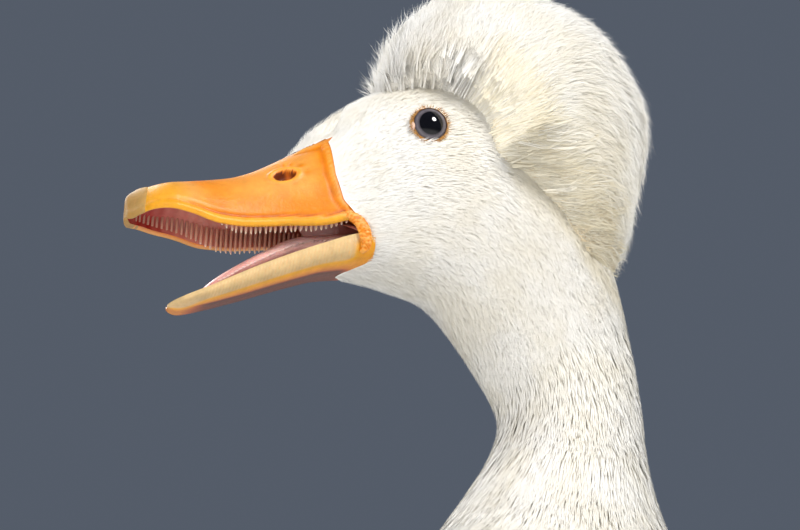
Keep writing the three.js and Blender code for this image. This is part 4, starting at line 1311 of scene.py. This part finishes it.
for station in np.arange(-56, -20, tongue["papillaStep"]):
    row = through(
        np.array(tongueStations, float),
        np.interp(station, [s[0] for s in tongueStations], range(len(tongueStations))),
    )
    for side in (-1, 1):
        wide, thick = row[3], row[4]
        base = np.array([station, side * wide * 0.96, row[2] + 0.2])
        tip = base + np.array([0.9, side * rng.uniform(0.9, 1.5), rng.uniform(0.1, 0.5)])
        first = len(papillaPoints)
        for turn in np.linspace(0, 2 * np.pi, tongue["papillaSides"], endpoint=False):
            papillaPoints.append(base + tongue["papillaHalf"] * np.array([math.cos(turn), 0, math.sin(turn)]))
        papillaPoints.append(tip)
        papillaFaces += fanFaces(first, tongue["papillaSides"], first + tongue["papillaSides"])
papillae = meshPiece("tongue_papillae", toFrame(papillaPoints), papillaFaces, tongueMaterial)
setTone(papillae.data, np.full(len(papillaPoints), 0.95))

# Throat: a red bowl that closes the mouth behind, and the folds of the gape
bowl = []
bowlSides = 48
bowlTurn = np.linspace(0, 2 * np.pi, bowlSides, endpoint=False)
for depth, scale in ((0, 1.0), (2.0, 0.99), (4.5, 0.93), (7, 0.8), (9.5, 0.55), (10.8, 0.25)):
    # the front edge lies behind the corner folds at the sides and runs forward inside the bill
    start = -18.0 - 15 * np.abs(np.sin(bowlTurn)) ** 1.2 * (1 - depth / 14)
    bowl.append(np.stack([
        start + depth, 12.9 * scale * np.cos(bowlTurn), -31.6 + 5.6 * scale * np.sin(bowlTurn),
    ], axis=-1))
bowlPoints = np.concatenate(bowl + [np.array([[-6.6, 0, -31.6]])])
bowlFaces = gridFaces(len(bowl), bowlSides, wrap=True)
bowlFaces += fanFaces((len(bowl) - 1) * bowlSides, bowlSides, len(bowl) * bowlSides)
throat = meshPiece("throat_flesh", toFrame(bowlPoints), bowlFaces, mouthFlesh)
# darker further into the throat: deep red flesh, and painted shade
setTone(throat.data, np.interp(bowlPoints[:, 0], [-20, -11], [0.5, 0.12]))
gapeFold = {"rings": 60, "sides": 18}
gapeRings = []
for side in (-1, 1):
    line = [
        [-24.4, side * 13.2, -26.6, 0.4, 0.6], [-21.8, side * 13.6, -27.0, 0.7, 1.3],
        [-19.3, side * 13.9, -28.4, 0.8, 1.7], [-17.8, side * 13.9, -30.8, 0.85, 1.8],
        [-17.2, side * 13.6, -33.2, 0.85, 1.7], [-17.2, side * 13.0, -35.4, 0.8, 1.4],
        [-18.2, side * 12.0, -36.8, 0.4, 0.6],
    ]
    gapeRings.append(tubeRings(finerStations(line, gapeFold["rings"]), gapeFold["sides"]))
gapePoints = np.concatenate([r.reshape(-1, 3) for r in gapeRings])
creased = np.sin(gapePoints[:, 2] * 4.1 + 2 * np.sin(gapePoints[:, 0] * 1.9)) * np.sin(
    gapePoints[:, 0] * 3.3 + 1.5 * np.sin(gapePoints[:, 2] * 2.3)
)
gapePoints[:, 1] += 0.25 * np.sign(gapePoints[:, 1]) * creased
gapeFaces = []
for k in range(2):
    fold = gapeFold["rings"] * gapeFold["sides"]
    gapeFaces += gridFaces(gapeFold["rings"], gapeFold["sides"], wrap=True, offset=k * fold)
gape = meshPiece("gape_skin", toFrame(gapePoints), gapeFaces, billSkin)
# lighter on the raised crinkles and darker in the folds between: painted light and shade
setTone(gape.data, 0.62 + 0.3 * creased)

# Eyes
print("eyes")
eye = {"out": 12.3, "radius": 7.25, "shown": 4.9, "lidSides": 96, "bristles": 170}
eyeMaterial, tree, shader = newMaterial("eye_wet_cornea", {
    "Roughness": 0.06, "Specular IOR Level": 0.2, "Coat Weight": 0.6, "Coat Roughness": 0.02,
})
split = addNode(tree, "ShaderNodeSeparateXYZ", {}, Vector=objectPlace(tree))
offX = addNode(
    tree, "ShaderNodeMath", {"operation": "SUBTRACT", 1: float(headCentre[0])}, _0=split.outputs["X"],
)
offZ = addNode(
    tree, "ShaderNodeMath", {"operation": "SUBTRACT", 1: float(headCentre[2])}, _0=split.outputs["Z"],
)
flat = addNode(tree, "ShaderNodeCombineXYZ", {}, X=offX.outputs[0], Y=offZ.outputs[0])
reach = addNode(tree, "ShaderNodeVectorMath", {"operation": "LENGTH"}, _0=flat.outputs[0])
inMm = addNode(tree, "ShaderNodeMath", {"operation": "MULTIPLY", 1: 200.0}, _0=reach.outputs["Value"])
streaks = addNode(tree, "ShaderNodeTexNoise", {"Scale": 900.0, "Detail": 4.0}, Vector=objectPlace(tree))
rings = ramp(tree, inMm.outputs[0], [
    (0.0, "#08070c"), (1.0, "#1a1210"), (0.65, "#0a090e"), (0.69, "#4c474d"), (0.8, "#6f696f"),
    (0.9, "#524c51"),
    (0.945, "#1d1615"),
])
iris = ramp(tree, streaks.outputs["Fac"], [(0.35, grey(0.65)), (0.65, grey(1.0))])
tree.links.new(mixed(tree, 0.7, rings, iris, "MULTIPLY"), shader.inputs["Base Color"])
# lid rim: bare orange-brown skin
lidSkin = skinMaterial(
    "eyelid_skin", [(0.0, "#40291a"), (1.0, "#f6efdc"), (0.75, "#d99a44")], rough=0.5, wrinkles=0.5,
    wrinkleScale=1500.0,
)
leftSkin = flatOuter[(flatOuter[:, 1] < -4) & (np.hypot(flatOuter[:, 0], flatOuter[:, 2]) < 11)]


def faceSide(spot):
    # how far out the face's skin lies at a place in side view
    reach = np.hypot(spot[:, None, 0] - leftSkin[None, :, 0], spot[:, None, 1] - leftSkin[None, :, 2])
    weight = 1 / (reach**4 + 0.02)
    return (weight * -leftSkin[None, :, 1]).sum(axis=1) / weight.sum(axis=1)


for side, name in ((-1, "left"), (1, "right")):
    deselectAll()
    bpy.ops.mesh.primitive_uv_sphere_add(
        segments=64, ring_count=48, radius=eye["radius"] * 0.001, location=(0, 0, 0),
        rotation=(math.pi / 2, 0, 0),
    )
    ball = bpy.context.object
    ball.location = tuple(toFrame(np.array([0, side * eye["out"], 0])))
    bpy.ops.object.transform_apply(location=True, rotation=True, scale=True)
    bpy.ops.object.shade_smooth()
    ball.name = f"eyeball_{name}"
    # beyond the lids the ball is drawn in, behind the face
    around = np.array([v.co[:] for v in ball.data.vertices])
    offset = (around - headCentre)[:, [0, 2]]
    reach = np.linalg.norm(offset, axis=1, keepdims=True)
    shown = eye["shown"] * 0.001
    drawn = np.where(reach > shown, shown + (reach - shown) * 0.08, reach) / np.maximum(reach, 1e-6)
    around[:, [0, 2]] = headCentre[[0, 2]] + offset * drawn
    ball.data.vertices.foreach_set("co", around.ravel())
    ball.data.materials.append(eyeMaterial)
    finishPiece(ball, (f"eye_{name}",))
    # the lid: a thin ring that lies on the ball, and a skirt out to the face
    turn = np.linspace(0, 2 * np.pi, eye["lidSides"], endpoint=False)
    circle = np.stack([np.cos(turn), np.sin(turn) * 0.97], axis=-1)
    rowsOut = []
    # radius from the eye's axis, height over the ball, share that follows the face, tone
    lidRows = (
        (4.66, -0.3, 0, 0.1), (4.68, 0.22, 0, 0.05), (4.86, 0.42, 0, 0.3), (5.08, 0.38, 0.1, 0.68),
        (5.35, 0.15, 0.6, 0.78), (5.9, 0.0, 1, 1.0), (6.8, -0.5, 1, 1.0),
    )
    for out, proud, onFace, _ in lidRows:
        radial = out + 0.05 * np.sin(turn * 11 + out * 3)
        spot = circle * radial[:, None]
        ballAt = eye["out"] + np.sqrt(
            np.clip(eye["radius"] ** 2 - np.minimum(radial, 6.6) ** 2, 0.1, None)
        ) + proud
        faceAt = faceSide(spot) + (0.25 if out < 6 else proud)
        rowsOut.append(
            np.stack([spot[:, 0], side * (ballAt * (1 - onFace) + faceAt * onFace), spot[:, 1]], axis=-1)
        )
    lidPoints = np.concatenate(rowsOut)
    lid = meshPiece(
        f"eyelid_{name}", toFrame(lidPoints), gridFaces(len(rowsOut), eye["lidSides"], wrap=True), lidSkin,
    )
    lidTones = np.repeat([row[3] for row in lidRows], eye["lidSides"])
    setTone(lid.data, lidTones + rng.normal(0, 0.06, len(lidPoints)))
    # short bristles round the rim
    count = eye["bristles"]
    turn = rng.uniform(0, 2 * np.pi, count)
    circle = np.stack([np.cos(turn), 0 * turn, np.sin(turn) * 0.97], axis=-1)
    start = circle * rng.uniform(4.9, 5.2, count)[:, None]
    start[:, 1] = side * (eye["out"] + 5.55)
    lean = unit(circle + rng.normal(0, 0.3, (count, 3)) + np.array([0.15, side * 0.35, 0]))
    long = rng.uniform(0.7, 1.5, count)[:, None]
    bristle = np.stack([start, start + lean * long * 0.5, start + lean * long], axis=1)
    outWay = np.tile([0, side, 0.0], (count, 1))
    across = np.repeat(unit(np.cross(lean, outWay))[:, None], 2, axis=1)
    data = blades(
        bristle, across, outWay, rng.uniform(0.12, 0.2, count), rng.uniform(0.0, 0.9, count),
        np.full((count, 2), 0.5),
    )
    coatPiece(f"eye_bristles_{name}", *data, lidSkin)
    # the pale corner in front
    deselectAll()
    bpy.ops.mesh.primitive_uv_sphere_add(segments=24, ring_count=16, radius=1)
    corner = bpy.context.object
    at = toFrame(np.array([-4.85, side * (eye["out"] + 5.4), -0.9]))
    for vertex in corner.data.vertices:
        vertex.co = Vector(at) + Vector((vertex.co.x * 0.00055, vertex.co.y * 0.0005, vertex.co.z * 0.0013))
    bpy.ops.object.shade_smooth()
    corner.name = f"eye_corner_{name}"
    corner.data.materials.append(mouthFlesh)
    setTone(corner.data, np.full(len(corner.data.vertices), 1.0))
    finishPiece(corner)

# Wings: rows of coverts over the folded wing, then the long flight feathers
print("wings")


def plumeSample(values, at):
    # values at fractional stations of each feather
    spot = at * (values.shape[1] - 1)
    low = np.clip(np.floor(spot).astype(int), 0, values.shape[1] - 2)
    part = (spot - low)[..., None]
    line = np.arange(len(values))[:, None]
    return values[line, low] * (1 - part) + values[line, low + 1] * part


# share of its full width that a long feather has, along its length
vaneOutline = [0, 0.12, 0.5, 0.85, 0.96, 1], [0.22, 0.7, 1.0, 0.88, 0.5, 0.16]


def freeVanes(
    name, roots, overs, tips, ups, widths, tones, nodes, bow, rachisHigh, rows=14, columns=9, fringe=13,
):
    # long feathers along a curve from root over a middle point to the tip
    count = len(roots)
    t = np.linspace(0, 1, rows)[None, :, None]
    line = roots[:, None] * (1 - t) ** 2 + 2 * overs[:, None] * t * (1 - t) + tips[:, None] * t**2
    aim = unit(np.gradient(line, axis=1))
    side = unit(np.cross(aim, ups[:, None]))
    up = unit(np.cross(side, aim))
    s = np.linspace(-1, 1, columns)
    outline = np.interp(t[0, :, 0], *vaneOutline)
    across = s[None, None, :] * outline[None, :, None] * widths[:, None, None] * 0.5
    sag = -bow * across**2 / np.maximum(widths[:, None, None], 1) + rachisHigh * bell(s, 0, 0.09)[None, None]
    points = line[:, :, None] + side[:, :, None] * across[..., None] + up[:, :, None] * sag[..., None]
    faces = vaneFaces(count, rows, columns)
    # split barbs along both edges and the tip
    at = rng.uniform(0.3, 0.99, (count, fringe * 2))
    edge = np.where(rng.uniform(0, 1, at.shape) < 0.5, -1.0, 1.0)
    middle = plumeSample(line, at)
    aimAt = plumeSample(aim, at)
    sideAt = plumeSample(side, at)
    upAt = plumeSample(np.broadcast_to(up, line.shape), at)
    wideAt = (np.interp(at, *vaneOutline) * widths[:, None] * 0.5)[..., None]
    start = middle + sideAt * wideAt * edge[..., None] * 0.93 - upAt * 0.15
    tip = (
        start + aimAt * rng.uniform(1.2, 3.0, at.shape)[..., None]
        + sideAt * edge[..., None] * rng.uniform(0.1, 0.5, at.shape)[..., None]
    )
    extra = np.stack([start - aimAt * 0.5, start + aimAt * 0.5, tip], axis=2).reshape(-1, 3)
    extraFaces = np.arange(len(extra)).reshape(-1, 3) + count * rows * columns
    tilt = side[:, :, None] * (s * 0.18)[None, None, :, None]
    normals = unit(
        np.broadcast_to(up[:, :, None], points.shape) + tilt + rng.normal(0, 0.03, (count, 1, 1, 3))
    )
    allNormals = np.vstack([normals.reshape(-1, 3), np.repeat(upAt.reshape(-1, 3), 3, axis=0)])
    # darker towards the root and along both edges, where neighbours overlap: painted shade lines between the
    # feathers
    vaneTone = tones[:, None, None] + np.linspace(-0.2, 0.04, rows)[None, :, None] - 0.1 * s[None, None] ** 4
    allTones = np.concatenate([vaneTone.ravel(), np.repeat(tones, fringe * 6)])
    bakeRoot = np.stack(
        [0.3 + 0.6 * rng.uniform(0, 1, count), 0.02 + 0.9 * np.arange(count) / count], axis=-1,
    )
    uvs = np.vstack([vaneUnwrap(bakeRoot, rows, columns), np.repeat(bakeRoot, fringe * 6, axis=0)])
    piece = coatPiece(
        name, np.vstack([points.reshape(-1, 3), extra]), np.vstack([faces, extraFaces]), allNormals, allTones,
        uvs, vaneFeather, nodes,
    )
    length = np.linalg.norm(tips - roots, axis=1)
    barbUv = np.stack(np.broadcast_arrays(
        (np.abs(s) * outline[:, None])[None] * widths[:, None, None] * 0.1,
        -t * length[:, None, None] * 0.1 + np.zeros((1, 1, columns))
    ), axis=-1)
    setUv(piece.data, "vane", np.vstack([barbUv.reshape(-1, 2), np.zeros((len(extra), 2))]))
    return piece


# four kinds of wing coverts: first and last place of the roots, range of angles, length in mm,
# width, lift, number in a row, rows
covertLayers = [
    (18.9, 19.3, 92, 34, 74, 17, 5.2, 10, 1),
    (17.6, 18.4, 96, 30, 46, 15, 7.2, 12, 2),
    (16.2, 17.4, 99, 30, 33, 13, 8.6, 13, 3),
    (15.0, 16.0, 95, 38, 25, 11, 8.4, 11, 3),
]
flight = {"primaries": 7, "primaryWide": 13, "secondaries": 11, "secondaryWide": 18}
for side, name in ((-1, "left"), (1, "right")):
    roots, overs, tips, ups, widths = [], [], [], [], []
    for firstPlace, lastPlace, lowAngle, highAngle, length, wide, lift, perRow, rowCount in covertLayers:
        for r in range(rowCount):
            rootPlace = lastPlace + (firstPlace - lastPlace) * (r / max(rowCount - 1, 1))
            for k in range(perRow):
                share = (k + 0.5 * (r % 2)) / perRow
                angleAt = lowAngle + (highAngle - lowAngle) * share
                here = rootPlace + 0.5 * abs(share - 0.4) + rng.normal(0, 0.03)
                along = bodyFrame(np.array([here]), np.array([side * angleAt]))[0]
                tipPlace = min(here + length / along[0] * rng.uniform(0.94, 1.06), 23.2)
                tipAngle = angleAt - 4 * share + rng.normal(0, 0.8)
                rise = lift * (1 - 0.35 * abs(2 * share - 1) ** 2) + 0.25 * r
                roots.append(bodyPoint(here, side * angleAt, max(rise - 3.4, 0.4)))
                overs.append(bodyPoint((here + tipPlace) / 2, side * (angleAt + tipAngle) / 2, rise + 1.2))
                tips.append(bodyPoint(tipPlace, side * tipAngle, rise - 0.7))
                ups.append(bodyFrame(np.array([(here + tipPlace) / 2]), np.array([side * angleAt]))[2][0])
                widths.append(wide * rng.uniform(0.95, 1.05))
    # primaries
    for i in range(flight["primaries"]):
        j = i * 4 / (flight["primaries"] - 1)
        root = bodyPoint(19.6 + 0.1 * j, side * (80 - 5 * j))
        over = bodyPoint(21.8, side * (62 - 5 * j)) + np.array([0, side * (8 + 1.2 * j), 7 + 1.2 * j])
        tip = np.array([262 + 16 * j, side * (30 - 4.5 * j), -262 - 4.25 * j])
        roots.append(root)
        overs.append(over)
        tips.append(tip)
        ups.append(unit(np.array([0.15, side * 0.75, 0.65])))
        widths.append(flight["primaryWide"])
    # secondaries reach back over the flank
    for i in range(flight["secondaries"]):
        share = i / (flight["secondaries"] - 1)
        here = 18.8 + 0.25 * share
        lowAngle = 88 - 56 * share
        tipPlace = 22.3 + 0.5 * share
        roots.append(bodyPoint(here, side * lowAngle, 2.0))
        overs.append(bodyPoint(20.7, side * (lowAngle - 3), 6.0 + 0.3 * i))
        tips.append(bodyPoint(tipPlace, side * (lowAngle - 6), 3.6 + 0.25 * i))
        ups.append(bodyFrame(np.array([20.7]), np.array([side * lowAngle]))[2][0])
        widths.append(flight["secondaryWide"])
    toneList = 0.88 + rng.normal(0, 0.03, len(roots))
    freeVanes(
        f"wing_feathers_{name}", np.array(roots), np.array(overs), np.array(tips), np.array(ups),
        np.array(widths), toneList,
        (f"wing_{name}",), bow=1.9, rachisHigh=0.5,
    )

# Tail: rectrices in a fan with coverts above and below
print("tail")
tail = {
    "x": 284, "z": -293, "slope": -9, "rooted": 14, "rootSpread": 9.5,
    # for each row: number, degrees to each side, length, lift, width, drop at the sides
    "rows": (
        (17, 36, 88, 0, 17, 3), (9, 27, 66, -3.4, 18, -1), (8, 26, 58, -5.0, 19, -2),
        (9, 27, 68, 2.6, 17, -1), (8, 25, 60, 3.9, 18, -2), (7, 24, 52, 5.2, 18, -3),
    ),
}
roots, overs, tips, ups, widths = [], [], [], [], []
for number, spread, long, lift, width, drop in tail["rows"]:
    for i in range(number):
        share = 2 * i / (number - 1) - 1
        turn = math.radians(spread * share)
        down = math.radians(tail["slope"])
        way = np.array([math.cos(turn) * math.cos(down), math.sin(turn), math.cos(turn) * math.sin(down)])
        root = np.array([tail["x"] - tail["rooted"], share * tail["rootSpread"], tail["z"] + lift * 0.8])
        tip = root + way * (long + tail["rooted"]) * (1 - 0.1 * share**2) + np.array(
            [0, 0, lift * 0.35 - abs(share) * drop + rng.normal(0, 0.5)]
        )
        roots.append(root)
        overs.append((root + tip) / 2 + np.array([0, 0, 3.0 + lift * 0.5]))
        tips.append(tip)
        ups.append(unit(np.array([0.1, share * 0.35, 1.0])))
        widths.append(width)
freeVanes(
    "tail_feathers", np.array(roots), np.array(overs), np.array(tips), np.array(ups), np.array(widths),
    0.88 + rng.normal(0, 0.03, len(roots)), ("tail",), bow=1.2, rachisHigh=0.45,
)

# Thighs: short dense feathers, running down to the hock
thighCoat = {"count": 9000, "under": 1.8}
for side, name in ((-1, "left"), (1, "right")):
    stations = thighStations[side]
    number = int(thighCoat["count"] * density)
    at = rng.uniform(0, 1, number) ** 0.8 * (len(stations) - 1.4)
    turn = rng.uniform(0, 2 * np.pi, number)
    row = through(stations, at)
    further = through(stations, np.minimum(at + 1.6, len(stations) - 1))
    aim = unit(further[:, :3] - row[:, :3])
    sideWay = unit(np.array([0, 1.0, 0]) - aim * aim[:, 1:2])
    upWard = np.cross(sideWay, aim)
    out = sideWay * np.cos(turn)[:, None] + upWard * np.sin(turn)[:, None]
    base = row[:, :3] + sideWay * (
        np.cos(turn) * (row[:, 3] - thighCoat["under"])
    )[:, None] + upWard * (np.sin(turn) * (row[:, 4] - thighCoat["under"]))[:, None]
    length = rng.uniform(6, 11, number)[:, None]
    lean = unit(aim + rng.normal(0, 0.12, (number, 3)) - out * 0.12)
    paths = np.stack(
        [base, base + (lean + out * 0.22) * length * 0.5, base + (lean + out * 0.12) * length], axis=1,
    )
    sides = np.repeat(unit(np.cross(lean, out))[:, None], 2, axis=1)
    shading = unit(out + rng.normal(0, 0.15, (number, 3)))
    uvs = np.stack([0.86 + 0.1 * at / len(stations), 0.5 + 0.2 * side + 0.2 * turn / 7], axis=-1)
    data = blades(
        paths, sides, shading, rng.uniform(0.6, 1.1, number), 0.82 + rng.normal(0, 0.04, number), uvs,
    )
    coatPiece(f"thigh_coat_{name}", *data, bodyFeather)

# Legs: the CAD's own shanks and feet in scaly skin, with claws
legSkin, tree, shader = newMaterial("leg_scale_skin", fleshSettings(0.5, 0.08))
place = objectPlace(tree)
# scales about 1.6 mm across
cells = addNode(tree, "ShaderNodeTexVoronoi", {"Scale": 620.0, "feature": "DISTANCE_TO_EDGE"}, Vector=place)
tint = addNode(tree, "ShaderNodeTexNoise", {"Scale": 90.0, "Detail": 4.0}, Vector=place)
base = ramp(tree, tint.outputs["Fac"], [(0.3, "#d9761c"), (0.7, "#f49a2c")])
edgeDark = ramp(tree, cells.outputs["Distance"], [(0.0, grey(0.55)), (0.12, grey(1.0))])
scaled = mixed(tree, 0.8, base, edgeDark, "MULTIPLY")
# the tone attribute is 1 on the claws, which are tan horn
onClaw = addNode(tree, "ShaderNodeAttribute", {"attribute_name": "tone"}).outputs["Fac"]
tree.links.new(mixed(tree, onClaw, scaled, "#b08d5e"), shader.inputs["Base Color"])
bump(tree, shader, cells.outputs["Distance"], 0.6, 0.0004)
legs = {"voxel": 0.00075, "smoothings": 6, "hindToe": 24.2, "toe": 62}
toeTurns = ((24, 0.82), (2, 1.0), (-20, 0.9))  # degrees from straight ahead, share of the longest
# the toes spread from the ankle, which is this far in front of the end of the hind toe
ankleX = float(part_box("foot_left")[1][0]) * 1000 - legs["hindToe"]
for name in ("shank_left", "shank_right", "foot_left", "foot_right"):
    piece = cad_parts[name].copy()
    piece.data = piece.data.copy()
    piece.parent = None
    for key in list(piece.keys()):
        del piece[key]
    piece.name = name.replace("shank", "shank_skin").replace("foot", "foot_skin")
    bpy.context.collection.objects.link(piece)
    selectOnly(piece)
    bpy.ops.object.mode_set(mode="EDIT")
    bpy.ops.mesh.select_all(action="SELECT")
    bpy.ops.mesh.remove_doubles(threshold=1e-6)
    bpy.ops.object.mode_set(mode="OBJECT")
    remesh = piece.modifiers.new("even", "REMESH")
    remesh.mode = "VOXEL"
    remesh.voxel_size = legs["voxel"]
    bpy.ops.object.modifier_apply(modifier="even")
    relaxed = piece.modifiers.new("relaxed", "SMOOTH")
    relaxed.iterations = legs["smoothings"]
    relaxed.factor = 0.5
    bpy.ops.object.modifier_apply(modifier="relaxed")
    bpy.ops.object.shade_smooth()
    co = np.array([v.co[:] for v in piece.data.vertices])
    claw = np.zeros(len(co))
    if name.startswith("foot"):
        side = -1 if name.endswith("left") else 1
        for toeTurn, share in toeTurns:
            turn = math.radians(toeTurn)
            aimX, aimY = -math.cos(turn), side * math.sin(turn)
            offX, offY = co[:, 0] * 1000 - ankleX, co[:, 1] * 1000 - side * footY
            alongToe = offX * aimX + offY * aimY
            besideToe = np.abs(offX * aimY - offY * aimX)
            claw = np.maximum(claw, smooth(0.985, 1.03, alongToe / (legs["toe"] * share)) * (besideToe < 4))
    piece.data.materials.clear()
    piece.data.materials.append(legSkin)
    setTone(piece.data, claw)
    finishPiece(piece, (name,))

# Floor
deselectAll()
bpy.ops.mesh.primitive_plane_add(size=8, location=(0, 0, 0))
floor = bpy.context.object
floor.name = "floor"
floorMaterial = newMaterial("studio_floor", {"Base Color": srgb(studio["floor"]), "Roughness": 0.8})[0]
floor.data.materials.append(floorMaterial)

world = bpy.data.worlds.new("studio_air")
bpy.context.scene.world = world
world.use_nodes = True
world.node_tree.nodes["Background"].inputs["Color"].default_value = srgb(studio["surround"])
world.node_tree.nodes["Background"].inputs["Strength"].default_value = studio["surroundStrength"]
for at, size, watts, colour, glossy in studio["lamps"]:
    bpy.ops.object.light_add(type="AREA", location=at)
    lamp = bpy.context.object
    lamp.data.shape = "DISK"
    lamp.data.size = size
    lamp.data.energy = watts
    lamp.data.color = srgb(colour)[:3]
    lamp.visible_glossy = glossy
    lamp.rotation_euler = (Vector(tuple(headCentre)) - Vector(at)).to_track_quat("-Z", "Y").to_euler()
bpy.context.scene.view_settings.view_transform = "Standard"
